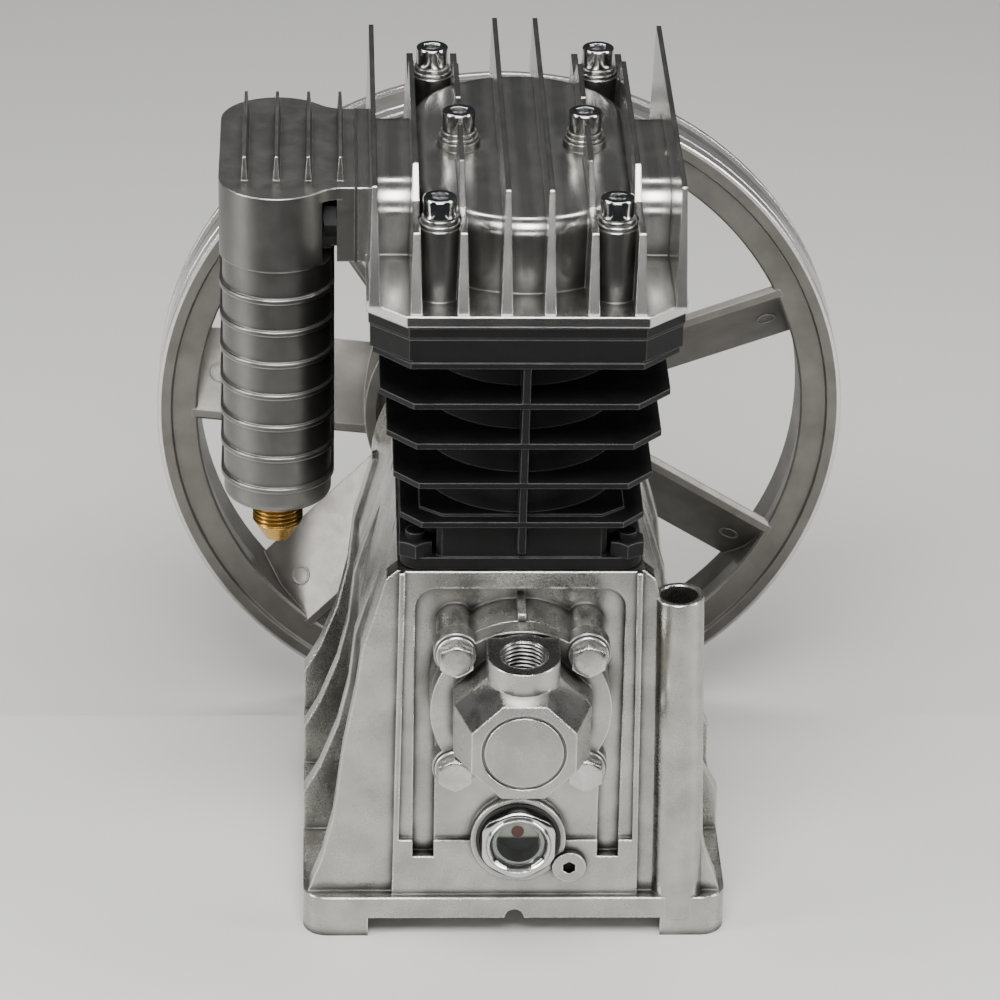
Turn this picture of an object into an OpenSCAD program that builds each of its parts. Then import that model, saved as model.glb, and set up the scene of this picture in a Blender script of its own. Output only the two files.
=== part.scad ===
// Twin cylinder belt driven air compressor pump head.
// Millimetres, +Z up. The crankshaft lies along Y and the flywheel is at the rear (+Y).
// The origin is the middle of the base bolt holes, on the underside of the feet.

/* [Base and crankcase] */
// Width of the base flange across the crankshaft
base_width = 173; // [170:1:182]
// Length of the base flange along the crankshaft
base_length = 171; // [168:1:178]
// Height of the top of the base flange above the ground
base_top = 18; // [16:0.5:22]
// Gap under the flange between the feet
foot_gap = 8.5; // [4:0.5:11]
// Width of a foot
foot_width = 26.5; // [22:0.5:32]
// Length of a foot
foot_length = 31; // [28:0.5:36]
// Spacing of the base bolt holes across the crankshaft
base_bolt_across = 152; // [148:1:154]
// Spacing of the base bolt holes along the crankshaft
base_bolt_along = 125; // [118:1:126]
// Diameter of a base bolt hole
base_bolt_hole = 9; // [7:0.5:11]
// Height of the crankshaft axis
crank_height = 117.5; // [115:0.5:125]
// Wall of the crankcase
case_wall = 6; // [5:0.5:6.5]

/* [Cylinders] */
// Bore of both cylinders
bore = 65; // [60:0.5:68]
// Distance between the two bores
bore_pitch = 75.5; // [74:0.5:78]
// Stroke of the pistons
stroke = 46; // [40:1:46]
// Height of the cylinder block
block_height = 108.4; // [107:0.2:110]
// Number of cooling fins round the block
block_fin_count = 5; // [3:1:5]
// Distance between two cooling fins
block_fin_pitch = 18.9; // [14:0.1:19]
// Thickness of a cooling fin
block_fin = 2.4; // [1.6:0.2:4]
// How much each fin is set back from the one above, at the sides
fin_side_step = 2.8; // [0:0.1:2.8]
// How much each fin is set back from the one above, at the ends
fin_end_step = 3.2; // [0:0.1:3.2]

/* [Cylinder head] */
// Half length of the head plate
head_half_length = 96.5; // [96:0.5:99]
// Half width of the head plate
head_half_width = 62; // [61.5:0.5:64]
// Thickness of the head plate
head_plate = 4.5; // [4:0.5:7]
// Height of the dome above the plate
dome_height = 30; // [28:0.5:32]
// Height of the tall fins above the plate
tall_fin = 49; // [46:1:54]
// Distance of the middle tall fins from the mid plane
middle_fin_offset = 8.3; // [6:0.1:11]
// Distance of the head screws from the mid plane at both ends
end_screw_offset = 34; // [33:0.5:36]
// Distance of the middle head screws from the mid plane
middle_screw_offset = 25; // [23:0.5:27]

/* [Discharge cooler] */
// Distance of the cooler leg from the mid plane
cooler_offset = 96.8; // [95:0.1:99]
// Width of the cooler leg
cooler_width = 45.5; // [40:0.5:46]
// Length of the cooler leg along the crankshaft
cooler_length = 102; // [94:1:104]
// Height of the cooler from its underside to its flat top
cooler_height = 138; // [126:0.5:144]
// Number of rings round the leg
ring_count = 8; // [4:1:8]
// Distance between two rings
ring_pitch = 13.85; // [10:0.05:13.9]
// Thickness of a ring
ring = 2; // [1.2:0.1:3]
// Depth of the leg wall behind the rings
ring_depth = 1.2; // [0.6:0.1:2.5]
// Height of the fins on top of the cooler
cooler_fin = 10.2; // [6:0.1:14]

/* [Flywheel] */
// Outer diameter of the flywheel
wheel_diameter = 304; // [296:2:306]
// Width of the rim
rim_width = 30.5; // [28:0.5:34]
// Distance of the front of the rim from the middle of the block
wheel_front = 158.5; // [157:0.5:162]
// Number of fan blades
blade_count = 7; // [5:1:9]
// Width of a blade in the plane of the wheel
blade_across = 31; // [28:1:38]
// Depth of a blade along the crankshaft
blade_deep = 27; // [20:1:27]
// Thickness of a blade
blade = 5; // [3.5:0.5:7]
// Direction of the first blade in degrees
blade_phase = 20; // [0:1:51]

/* [Hidden] */
$fn = 72;

// Shared values
overrun = 1;
gap = 0.3;
running_gap = 0.05;
bore_half = bore_pitch / 2;
throw = stroke / 2;
flats_to_corners = 2 / sqrt(3);
eighth_turn = 45;

// Stack between the crankcase and the head
crank_to_top = 49.5;
base_paper = 0.5;
head_paper = 0.8;
plate_thickness = 4;
case_top = crank_height + crank_to_top;
block_bottom = case_top + base_paper;
block_top = block_bottom + block_height;
plate_bottom = block_top + head_paper;
plate_top = plate_bottom + plate_thickness;
head_bottom = plate_top + head_paper;
deck = head_bottom + head_plate;

// Standard fasteners with an eight millimetre thread
thread = 8;
screw_hole = 9;
hex_flats = 13;
hex_head = 5.5;
cap_head = 13;
cap_height = 8;
cap_socket = 6;
cap_socket_depth = 4;
washer_outer = 16;
washer = 1.6;
spring_outer = 14.4;
spring = 2;
nut = 6.5;
screw_length = 48;
stem_radius = thread / 2 - running_gap;

// Crankcase body
flange_to_wall = 5;
case_half = base_length / 2 - flange_to_wall;
end_plate = 9;
wall_inside = case_half - end_plate;
front_wall_set_back = 1;
box_set_back = 2;
flange_corner = 10;
base_rim = base_top - foot_gap;
case_floor = 12;
top_wall = 7;
inner_lean = 1;
well_radius = 36;
rib_width = 7;
rib_place = 27;
notch_length = 14;
notch_radius = 4;

// Half outlines of the crankcase seen from the front: shares of half the base width and of the
// height between the base flange and the crankcase top
end_outline_shares = [
    [0.566, 1], [0.618, 0.973], [0.659, 0.886], [0.728, 0.752], [0.757, 0.624],
    [0.815, 0.443], [0.861, 0.228], [0.913, 0.101], [0.977, 0]
];
flank_shares = [
    [0.705, 0.725], [0.757, 0.624], [0.786, 0.47], [0.838, 0.336], [0.925, 0.201], [1, 0.121], [1, 0]
];
rib_outline_shares = concat([[0.566, 1], [0.601, 0.886]], flank_shares);
rear_outline_shares = concat([[0.566, 1], [0.578, 0.826], [0.665, 0.812]], flank_shares);
box_outline_shares = [[0.566, 1], [0.578, 0.953], [0.728, 0.631], [0.763, 0]];

// Front face of the crankcase
face_half_top = 46;
face_half_bottom = 48;
bead = 2.2;
bead_proud = 2;
panel_side = 42;
panel_below_top = 7.5;
panel_above_base = 18;
panel_depth = 3.5;
panel_corner = 9;
channel = 8.7;
pad_below_crank = 17.5;
panel_top = case_top - panel_below_top;
panel_bottom = base_top + panel_above_base;
pad_top = crank_height - pad_below_crank;
ledge_height = 43.8;
ledge_proud = 2;

// Front bearing housing
housing_radius = 36;
housing_proud = 16;
housing_front = case_half + housing_proud;
housing_nib = 3;
housing_nib_width = 3.2;
boss_radius = 7.6;
cover_bolt_half = 26;
cover_bolt_depth = 18;
front_shoulder = 20;

// Filler tube
tube_below_top = 12.6;
tube_top = case_top - tube_below_top;
tube_top_offset = 63.5;
tube_foot_offset = 67;
tube_behind = 76;
tube_radius = 9.9;
tube_foot_radius = 10.9;
tube_bore = 15.4;
tube_floor = 30;
tube_height = tube_top - foot_gap;
tube_lean = atan((tube_foot_offset - tube_top_offset) / tube_height);
filler_way_radius = 4;
filler_way_length = 20;
filler_way_turn = 140;

// Sight glass
sight_offset = 1;
sight_height = 45.2;
sight_boss_radius = 19.3;
sight_boss = 4;
sight_seat = -case_half - sight_boss;
sight_hole = 12.5;
sight_nut = 30;
sight_nut_height = 4.5;
sight_rim = 1.5;
sight_rim_start = 12.2;
sight_rim_end = 14;
sight_stem = 13;
sight_tube = 9;
sight_window = 10.6;
sight_lens = 1.6;
sight_lens_depth = 2.5;
sight_mouth = 11.8;
sight_floor = 1;
sight_floor_place = 7;
sight_way = 2.2;
sight_way_offset = 5.8;
sight_dot = 2.6;
sight_dot_height = 0.6;

// Drain plug
plug_offset = 22;
plug_height = 32.5;
plug_seat = -case_half - ledge_proud;
plug_radius = 6.85;
plug_head = 2;
plug_paper = 1;
plug_paper_radius = 6.7;
plug_thread = 5;
plug_stem = 8;
plug_socket = 5;
plug_socket_depth = 3;
plug_spot = 7.4;

// Front cover
cover_flange = 8;
cover_paper = 0.5;
cover_back = -housing_front - cover_paper;
cover_face = cover_back - cover_flange;
cover_radius = 36;
lobe_radius = 9;
dome_across = 54;
dome_straight = 15;
dome_taper = 18;
nose_across = 41;
nose_end = cover_face - dome_straight - dome_taper;
nose_disc = 31;
nose_groove = 1.2;
nose_groove_depth = 0.7;
port_width = 28.6;
port_forward = 12;
port_length = 34;
port_thread = 9.3;
port_floor = 6;
port_tilt = 5;
cover_hollow = 17;
cover_hollow_end = 4;

// Cylinder block
skirt_wall = 6;
block_web = 44;
foot_thickness = 5;
foot_across = 96;
foot_along = 158;
foot_corner = 8;
foot_top = block_bottom + foot_thickness;
waist_height = 24;
waist_half_width = 40.5;
waist_half_length = 78;
waist_cut_across = 9;
waist_cut_along = 7;
top_flange = 9;
top_half_width = 60.5;
top_half_length = 95.5;
top_cut_across = 15;
top_cut_along = 14;
top_band = 12.2;
band_inset = 0.5;
first_half_width = 59.4;
first_half_length = 96;
first_cut = 14.5;
cut_step = 1.5;
cut_extra = 1;
screw_column = 7.5;
column_floor = 4;
block_rib = 3;
end_rib_start = 70;
side_rib_start = 20;
rib_above_foot = 8;
rib_foot_set_back = 2;
stud_across = 84;
stud_along = 146;
stud_depth = 13;
stud_above = 15;
nut_clearance = 9;
nut_clearance_height = 15;
gasket_inset = 0.5;

// Valve plate, gaskets and reeds
plate_cut_across = 15.5;
plate_cut_along = 14.5;
gasket_shrink = 1.2;
plate_shrink = 0.8;
chamber_offset = 20;
chamber_width = 30;
chamber_length = 128;
chamber_corner = 8;
chamber_clear = 1;
chamber_height = 24;
port_across = 15;
port_step = 8;
port_hole = 5.5;
rivet_hole = 3;
rivet = 2.9;
rivet_head = 5.6;
rivet_head_height = 1.2;
rivet_along = 20;
reed_thickness = 0.3;
reed_width = 14;
reed_length = 42;
reed_shift = 2;
reed_corner = 6.9;
stop_width = 12;
stop_thickness = 3.4;
stop_corner = 5.9;
stop_lift = 1.6;
stop_clear_width = 16;
stop_clear_length = 34;
stop_clear_far = 24;
stop_clear_near = 10;

// Cylinder head
dome_radius = 44;
dome_fillet = 6;
dome_half = 31.5;
low_fin = 32.2;
shoulder_fin = 44.6;
fin_top_thickness = 2;
fin_foot_thickness = 4.4;
fin_slab = 40;
screw_boss_radius = 8.6;
screw_boss = 29.6;
middle_boss = 33.2;
outer_fin_offset = 43;
side_plate_offset = 59;
side_plate_drop = 1;
port_half = 39.5;
port_body = 28.5;
port_corner = 12;
port_inner = 34;
flange_outside = 65.2;
flange_below_deck = 3;
flange_above_deck = 28.6;
port_above_deck = 12.5;
port_flange_bottom = deck - flange_below_deck;
port_flange_top = deck + flange_above_deck;
port_height = deck + port_above_deck;
flange_height = port_flange_top - port_flange_bottom;
discharge_port = 10;
intake_port = 12;
intake_wall = 5;
intake_face = 62;
intake_sunk = 2;
port_reach = 33;
cooler_screw_depth = 14;

// Half side outlines of the head fins: distance from the middle, height above the plate
fin_sink = 1;
fin_foot_end = 95;
tall_fin_end = 87.5;
low_fin_end = 90;
side_plate_foot = 88;
side_plate_end = 82;
tall_fin_outline = [[fin_foot_end, -fin_sink], [tall_fin_end, tall_fin]];
outer_low_end = 60;
outer_high_end = 52;
outer_fin_outline = [
    [fin_foot_end, -fin_sink], [low_fin_end, low_fin], [outer_low_end, low_fin],
    [outer_high_end, shoulder_fin]
];
side_plate_outline = [[side_plate_foot, -fin_sink], [side_plate_end, tall_fin - side_plate_drop]];
inner_low_end = 66;
inner_high_end = 49;
inner_start = 14;
inner_fin_outline = [
    [fin_foot_end, -fin_sink], [low_fin_end, low_fin], [inner_low_end, low_fin],
    [inner_high_end, shoulder_fin], [inner_start, shoulder_fin], [inner_start, -fin_sink]
];

// Discharge cooler
cooler_paper = 1;
cooler_flange = 7;
cooler_top = port_flange_top;
cooler_bottom = cooler_top - cooler_height;
cooler_arm_half = 24.5;
cooler_plate = 5;
cooler_shoulder = 2.9;
cooler_sweep = 14;
cooler_edge = 3;
cooler_wall = 7;
cooler_way_floor = 12;
cooler_way_roof = 8;
flange_face = -flange_outside - cooler_paper;
pocket_width = 5.8;
cooler_bolt_above = 13;
cooler_bolt_along = 33;
cooler_bolt_head = 5.3;
cooler_bolt_stem = 19;
cooler_fin_pitch = 12.5;
cooler_fin_count = 4;
cooler_fin_first = -12.6;
cooler_fin_half = 33;
cooler_fin_foot = 2.6;
cooler_fin_top = 1.2;
leg_width = cooler_width - 2 * ring_depth;
leg_length = cooler_length - 2 * ring_depth;
leg_arc = cooler_width / 2;
leg_arc_centre = (cooler_length - cooler_width) / 2;
sweep_centre = port_half + cooler_sweep;
sweep_across = sqrt(pow(leg_arc + cooler_sweep, 2) - pow(sweep_centre - leg_arc_centre, 2));

// Outlet nipple
outlet_forward = 28;
outlet_hole = 9.3;
outlet_hole_depth = 19;
outlet_stem = 9.2;
outlet_stem_depth = 11;
outlet_thread = 10.2;
outlet_thread_length = 13;
outlet_taper = 7.8;
outlet_tip = 5.5;
outlet_bore = 4.5;

// Bearings: front 25 x 52 x 15, rear 30 x 62 x 16
front_race_outer = 26;
front_race_bore = 12.5;
front_race = 15;
rear_race_outer = 31;
rear_race_bore = 15;
rear_race = 16;
race = 4.2;
race_set_back = 0.7;
race_float = 0.1;
front_race_start = -housing_front + race_set_back;
rear_race_inside = 2.5;
rear_race_start = case_half - rear_race_inside;
ball_count = 9;
ball_facets = 32;

// Rear bearing carrier and its seal
rear_opening = 41;
rear_pad_radius = 54.5;
rear_pad = 3;
carrier_back = case_half + rear_pad;
carrier_start = carrier_back + base_paper;
carrier_flange = 8;
carrier_radius = 57.5;
carrier_drum = 26;
carrier_face = carrier_start + carrier_flange;
carrier_nose = carrier_face + carrier_drum;
carrier_bolt_radius = 46.8;
carrier_bolts = 4;
carrier_turn = 35;
carrier_bolt_stem = 16;
carrier_hole_start = 2;
carrier_well = 9.5;
carrier_lip = 4;
carrier_throat = 18;
race_clearance = 0.5;
seal = 8;
seal_inside = 0.5;
seal_outer = 24;
seal_bore = 15.3;
seal_start = carrier_nose - seal - seal_inside;

// Flywheel
rim_inner = 134;
rim_chamfer = 0.6;
rim_land = 6;
rim_step = 1.6;
rim_slope = 1;
rim_lip = 1;
rim_draft = 1.6;
groove_start = 15.5;
groove_top = 12.5;
groove_floor = 5;
groove_depth = 11;
line_start = 6.3;
line_width = 1.7;
line_slope = 0.5;
line_depth = 0.8;
hub_reach = 34.5;
hub_front = wheel_front - hub_reach;
hub_radius = 28;
hub_draft = 3;
hub_short = 1.5;
hub_end = wheel_front + rim_width - hub_short;
drum_radius = 60;
drum_wall = 5;
drum_draft = 1;
drum_inset = 0.8;
drum_face = 9;
drum_back = 8;
washer_seat = 4;
washer_seat_radius = 19;
blade_root = 3;
blade_sunk = 2.6;
blade_set_back = 1.5;
wheel_washer = 3;
wheel_washer_radius = 18;
wheel_bolt_flats = 17;
wheel_bolt_head = 6.4;
wheel_bolt_radius = 4.95;
wheel_bolt_hole = 5;
wheel_bolt_stem = 20;
wheel_bolt_depth = 24;

// Crankshaft
crankpin_radius = 13;
crankpin_length = 24;
crankpin_bore = 4;
web = 12;
web_half = 12.3;
web_out = bore_half + web_half + web;
weight_radius = 40;
weight_step = 6;
web_radius = 17;
web_ring = 2;
journal_shoulder = 16;
front_shoulder_length = 15;
rear_shoulder = 18;
shaft_start = 0.5;
shaft_radius = 14;
shaft_end = hub_end - washer_seat - shaft_start;
key_width = 8;
key_slack = 0.1;
key_depth = 4;
key_rise = 3;
key_length = 40;
key_front = 8;
key_room = 0.3;
key_cut = 10;

// Pistons and rods
rod_length = 97;
piston_clearance = 1.2;
compression = crank_to_top + base_paper + block_height - throw - rod_length - piston_clearance;
piston_length = 58;
piston_crown = 9;
piston_wall = 5;
ring_grooves = 3;
ring_land = 6;
ring_groove = 2.5;
ring_groove_depth = 3;
ring_height = 2.3;
ring_slack = 0.1;
ring_bore_gap = 0.02;
ring_thickness = 2.8;
pin_radius = 8;
pin_length = 52;
pin_bore = 4.5;
pin_boss = 12.5;
pin_boss_length = 13;
pin_gap = 0.02;
rod_half = 11;
rod_eye = 12;
rod_end = 19.5;
rod_beam = 6;
rod_neck = 7;
rod_neck_start = 4;
rod_foot = 10;
rod_foot_start = 12;
rod_block_half = 21.5;
rod_block_along = 9;
rod_block_above = 8;
rod_block_below = 12;
rod_flute = 4.5;
rod_flute_start = 2.5;
rod_flute_neck = 3.5;
rod_flute_foot = 5.5;
rod_flute_top = 18;
rod_flute_bottom = 26;
rod_screw_offset = 17.5;
rod_screw = 2.95;
rod_screw_hole = 3;
rod_cap_hole = 3.2;
rod_screw_above = 7;
rod_screw_head = 5;
rod_screw_flats = 10;
rod_screw_seat = 6.3;
rod_screw_room = 8;
cap_cut = 30;
dipper_width = 6;
dipper_depth = 8;
dipper_end = 34;
dipper_start = 16;

function bolt_rows() = [-1, 0, 1];
function screw_offset(row) = row == 0 ? middle_screw_offset : end_screw_offset;
function from_shares(shares) = [
    for (share = shares) [share[0] * base_width / 2, base_top + share[1] * (case_top - base_top)]
];

// Frame with its origin in the shaft axis
module at_shaft() {
    translate([0, 0, crank_height]) children();
}

module along_y(start, length, radius) {
    translate([0, start, 0]) rotate([-90, 0, 0]) cylinder(r = radius, h = length);
}

module cone_along_y(start, length, first, last) {
    translate([0, start, 0]) rotate([-90, 0, 0]) cylinder(r1 = first, r2 = last, h = length);
}

module prism_along_y(start, length) {
    translate([0, start + length, 0]) rotate([90, 0, 0]) linear_extrude(length) children();
}

module ring_along_y(start, length, outer, inner) {
    translate([0, start, 0]) rotate([-90, 0, 0]) linear_extrude(length) difference() {
        circle(r = outer);
        circle(r = inner);
    }
}

module hex_along_y(start, length, flats) {
    translate([0, start, 0]) rotate([-90, 0, 0]) rotate([0, 0, 30])
        cylinder(d = flats * flats_to_corners, h = length, $fn = 6);
}

module rounded(width, length, corner) {
    for (x = [-1, 1], y = [-1, 1])
        translate([x * (width / 2 - corner), y * (length / 2 - corner)]) circle(r = corner);
    square([width - 2 * corner, length], center = true);
    square([width, length - 2 * corner], center = true);
}

module stadium(width, length) {
    half = (length - width) / 2;
    for (side = [-1, 1]) translate([0, side * half]) circle(d = width);
    square([width, 2 * half], center = true);
}

// Plan outline of the plates and fins: a rectangle with its corners cut
module cut_corners(half_width, half_length, cut_across, cut_along) {
    polygon([
        [half_width, half_length - cut_along], [half_width - cut_across, half_length],
        [cut_across - half_width, half_length], [-half_width, half_length - cut_along],
        [-half_width, cut_along - half_length], [cut_across - half_width, -half_length],
        [half_width - cut_across, -half_length], [half_width, cut_along - half_length]
    ]);
}

module four_corners(across, along) {
    for (x = [-1, 1], y = [-1, 1]) translate([x * across / 2, y * along / 2, 0]) children();
}

module mirrored_outline(half_points) {
    last = len(half_points) - 1;
    polygon(concat(half_points, [for (i = [last:-1:0]) [-half_points[i][0], half_points[i][1]]]));
}

// Crankcase

module inner_outline() {
    box_points = from_shares(box_outline_shares);
    mirrored_outline([
        [box_points[1][0] - case_wall - inner_lean, case_top - top_wall],
        [box_points[2][0] - case_wall, box_points[2][1]],
        [box_points[3][0] - case_wall, case_floor]
    ]);
}

module base_flange() {
    translate([0, 0, foot_gap]) linear_extrude(base_rim) rounded(base_width, base_length, flange_corner);
    intersection() {
        linear_extrude(base_top) rounded(base_width, base_length, flange_corner);
        four_corners(base_width - foot_width, base_length - foot_length)
            translate([0, 0, base_top / 2])
            cube([foot_width, foot_length, base_top], center = true);
    }
}

module crankcase_walls() {
    prism_along_y(-case_half + front_wall_set_back, end_plate)
        mirrored_outline(from_shares(end_outline_shares));
    prism_along_y(wall_inside, end_plate)
        mirrored_outline(from_shares(rear_outline_shares));
    prism_along_y(-case_half + box_set_back, 2 * (case_half - box_set_back))
        mirrored_outline(from_shares(box_outline_shares));
    for (y = [-rib_place, rib_place])
        prism_along_y(y - rib_width / 2, rib_width) mirrored_outline(from_shares(rib_outline_shares));
}

// Raised face between the two beads, with its thicker foot
module face_panel() {
    prism_along_y(-case_half, 2 * overrun) polygon([
        [face_half_top, case_top], [-face_half_top, case_top],
        [-face_half_bottom, base_top], [face_half_bottom, base_top]
    ]);
    prism_along_y(-case_half - ledge_proud, ledge_proud + overrun) polygon([
        [face_half_bottom, ledge_height], [-face_half_bottom, ledge_height],
        [-face_half_bottom, base_top], [face_half_bottom, base_top]
    ]);
    for (side = [-1, 1])
        prism_along_y(-case_half - bead_proud, bead_proud + overrun) polygon([
            [side * face_half_top, case_top], [side * (face_half_top + bead), case_top],
            [side * (face_half_bottom + bead), base_top], [side * face_half_bottom, base_top]
        ]);
}

module recess_outline() {
    straight_top = panel_top - panel_corner;
    difference() {
        union() {
            translate([-panel_side, panel_bottom])
                square([2 * panel_side, straight_top - panel_bottom]);
            translate([panel_corner - panel_side, panel_bottom])
                square([2 * (panel_side - panel_corner), panel_top - panel_bottom]);
            for (side = [-1, 1])
                translate([side * (panel_side - panel_corner), straight_top]) circle(r = panel_corner);
        }
        translate([channel - panel_side, panel_bottom - overrun])
            square([2 * (panel_side - channel), pad_top - panel_bottom + overrun]);
    }
}

module cover_bolt_places(height) {
    for (x = [-1, 1], z = [-1, 1])
        translate([x * cover_bolt_half, 0, height + z * cover_bolt_half]) children();
}

module front_housing() {
    depth = housing_proud + panel_depth + 2 * overrun;
    at_shaft() along_y(-housing_front, depth + end_plate, housing_radius);
    cover_bolt_places(crank_height) along_y(-housing_front, depth, boss_radius);
    translate([-housing_nib_width / 2, -housing_front, crank_height + housing_radius - overrun])
        cube([housing_nib_width, depth, housing_nib + overrun]);
}

module filler_tube_frame() {
    translate([tube_foot_offset, -tube_behind, foot_gap]) rotate([0, -tube_lean, 0]) children();
}

// Way from the foot of the filler tube into the sump
module filler_way() {
    translate([tube_foot_offset, -tube_behind, tube_floor + filler_way_radius])
        rotate([0, 0, filler_way_turn]) rotate([0, 90, 0])
        cylinder(r = filler_way_radius, h = filler_way_length);
}

module carrier_bolt_places() {
    for (turn = [0:carrier_bolts - 1]) rotate([0, carrier_turn + turn * 360 / carrier_bolts, 0])
        translate([carrier_bolt_radius, 0, 0]) children();
}

module block_stud_places() {
    for (y = [-1, 0, 1], x = [-1, 1]) translate([x * stud_across / 2, y * stud_along / 2, 0]) children();
}

module crankcase() {
    front = -case_half;
    color("silver") difference() {
        union() {
            difference() {
                union() {
                    base_flange();
                    crankcase_walls();
                    face_panel();
                }
                prism_along_y(front - overrun - bead_proud, panel_depth + overrun + bead_proud)
                    recess_outline();
            }
            front_housing();
            at_shaft()
                along_y(case_half - overrun, rear_pad + overrun, rear_pad_radius);
            filler_tube_frame() cylinder(r1 = tube_foot_radius, r2 = tube_radius, h = tube_height);
            translate([sight_offset, 0, sight_height])
                along_y(sight_seat, sight_boss + panel_depth + overrun, sight_boss_radius);
        }
        // Hollow inside, with the wells under both cylinders
        prism_along_y(front + end_plate, 2 * wall_inside) inner_outline();
        for (side = [-1, 1]) translate([0, side * bore_half, case_top - top_wall - overrun])
            cylinder(r = well_radius, h = top_wall + 2 * overrun);
        // Front bearing seat, its shoulder and the rear opening
        at_shaft() {
            along_y(-housing_front - overrun, race_set_back + front_race + race_float + overrun,
                front_race_outer + running_gap);
            along_y(-housing_front, housing_proud + end_plate + overrun, front_shoulder);
            along_y(wall_inside - overrun, end_plate + rear_pad + 2 * overrun, rear_opening);
            carrier_bolt_places()
                along_y(wall_inside + carrier_hole_start, end_plate + rear_pad, thread / 2);
        }
        cover_bolt_places(crank_height)
            along_y(-housing_front - overrun, cover_bolt_depth, thread / 2);
        // Sight glass, drain and filler openings
        translate([sight_offset, 0, sight_height])
            along_y(sight_seat - overrun, end_plate + sight_boss + box_set_back + 2 * overrun, sight_hole);
        translate([plug_offset, 0, plug_height]) {
            along_y(plug_seat - overrun, end_plate + ledge_proud + box_set_back + 2 * overrun, plug_thread);
            along_y(sight_seat - overrun, plug_seat - sight_seat + overrun, plug_spot);
        }
        filler_tube_frame() translate([0, 0, tube_floor - foot_gap]) cylinder(d = tube_bore, h = tube_height);
        filler_way();
        // Threaded holes for the block studs, holes for the base bolts
        block_stud_places() translate([0, 0, case_top - stud_depth - overrun])
            cylinder(d = thread, h = stud_depth + 2 * overrun);
        four_corners(base_bolt_across, base_bolt_along)
            translate([0, 0, -overrun]) cylinder(d = base_bolt_hole, h = base_top + 2 * overrun);
        // Small notch under the front edge
        prism_along_y(-base_length / 2 - overrun, notch_length) translate([0, foot_gap])
            circle(r = notch_radius);
    }
}

// Front cover

// Two opposite sides of the eight sided nose, straight and then tapering
module nose_sides(turn) {
    rotate([0, turn, 0]) linear_extrude(dome_across, center = true) polygon([
        [dome_across / 2, cover_face + overrun], [dome_across / 2, cover_face - dome_straight],
        [nose_across / 2, nose_end], [-nose_across / 2, nose_end],
        [-dome_across / 2, cover_face - dome_straight], [-dome_across / 2, cover_face + overrun]
    ]);
}

// Frame of the breather port, standing on its axis
module port_frame() {
    translate([0, cover_face - port_forward, 0]) rotate([port_tilt, 0, 0]) children();
}

module front_cover() {
    hollow = cover_flange + dome_straight + cover_hollow_end;
    color("silver") at_shaft() difference() {
        union() {
            along_y(cover_face, cover_flange, cover_radius);
            cover_bolt_places(0) along_y(cover_face, cover_flange, lobe_radius);
            intersection() {
                nose_sides(0);
                nose_sides(eighth_turn);
                nose_sides(2 * eighth_turn);
                nose_sides(3 * eighth_turn);
            }
            // Boss of the breather port, joined to the flange behind it
            port_frame() linear_extrude(port_length) {
                circle(d = port_width);
                translate([-port_width / 2, 0]) square([port_width, port_forward]);
            }
        }
        // Ring groove round the machined disc
        translate([0, nose_end - overrun, 0]) rotate([-90, 0, 0])
            linear_extrude(overrun + nose_groove_depth) difference() {
                circle(d = nose_disc + 2 * nose_groove);
                circle(d = nose_disc);
            }
        // Hollow behind, and the port thread down into it
        along_y(cover_back - hollow, hollow + overrun, cover_hollow);
        port_frame() translate([0, 0, port_floor]) cylinder(r = port_thread, h = port_length);
        cover_bolt_places(0) along_y(cover_face - overrun, cover_flange + 2 * overrun, screw_hole / 2);
    }
}

module cover_gasket() {
    color("gray") at_shaft() difference() {
        union() {
            along_y(cover_back, cover_paper, housing_radius - gap);
            cover_bolt_places(0) along_y(cover_back, cover_paper, boss_radius);
        }
        along_y(cover_back - overrun, cover_paper + 2 * overrun, front_race_outer + running_gap);
        cover_bolt_places(0) along_y(cover_back - overrun, cover_paper + 2 * overrun, screw_hole / 2);
    }
}

module cover_bolts() {
    seat = cover_face - washer;
    color("silver") cover_bolt_places(crank_height) {
        hex_along_y(seat - hex_head, hex_head, hex_flats);
        along_y(seat - overrun, washer + cover_flange + cover_bolt_depth, stem_radius);
    }
}

module cover_washers() {
    color("silver") cover_bolt_places(crank_height)
        ring_along_y(cover_face - washer, washer, washer_outer / 2, screw_hole / 2);
}

// Sight glass and drain

module sight_frame() {
    translate([sight_offset, sight_seat, sight_height]) children();
}

module sight_glass_body() {
    front = -sight_nut_height - sight_rim;
    color("silver") sight_frame() difference() {
        union() {
            hex_along_y(-sight_nut_height, sight_nut_height, sight_nut);
            cone_along_y(front, sight_rim, sight_rim_start, sight_rim_end);
            along_y(-overrun, sight_stem + overrun, sight_hole - running_gap);
        }
        cone_along_y(front - overrun, overrun - front - sight_lens_depth - sight_lens,
            sight_mouth, sight_window);
        along_y(-sight_lens_depth - sight_lens, sight_lens, sight_window);
        along_y(-sight_lens_depth - overrun, sight_floor_place + sight_lens_depth + overrun, sight_tube);
        along_y(sight_floor_place + sight_floor, sight_stem, sight_tube);
        // Ways for the oil through the floor of the cup
        for (side = [-1, 1]) translate([0, 0, side * sight_way_offset])
            along_y(sight_floor_place - overrun, sight_floor + 2 * overrun, sight_way);
    }
}

module sight_glass_lens() {
    color("lightblue") sight_frame() along_y(-sight_lens_depth - sight_lens, sight_lens, sight_window);
}

module sight_glass_dot() {
    color("red") sight_frame() along_y(sight_floor_place - sight_dot_height, sight_dot_height, sight_dot);
}

module drain_plug() {
    color("silver") translate([plug_offset, plug_seat, plug_height]) difference() {
        union() {
            along_y(-plug_paper - plug_head, plug_head, plug_radius);
            along_y(-plug_paper - overrun, plug_stem + plug_paper, plug_thread - running_gap);
        }
        hex_along_y(-plug_paper - plug_head - overrun, plug_socket_depth + overrun, plug_socket);
    }
}

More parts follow.
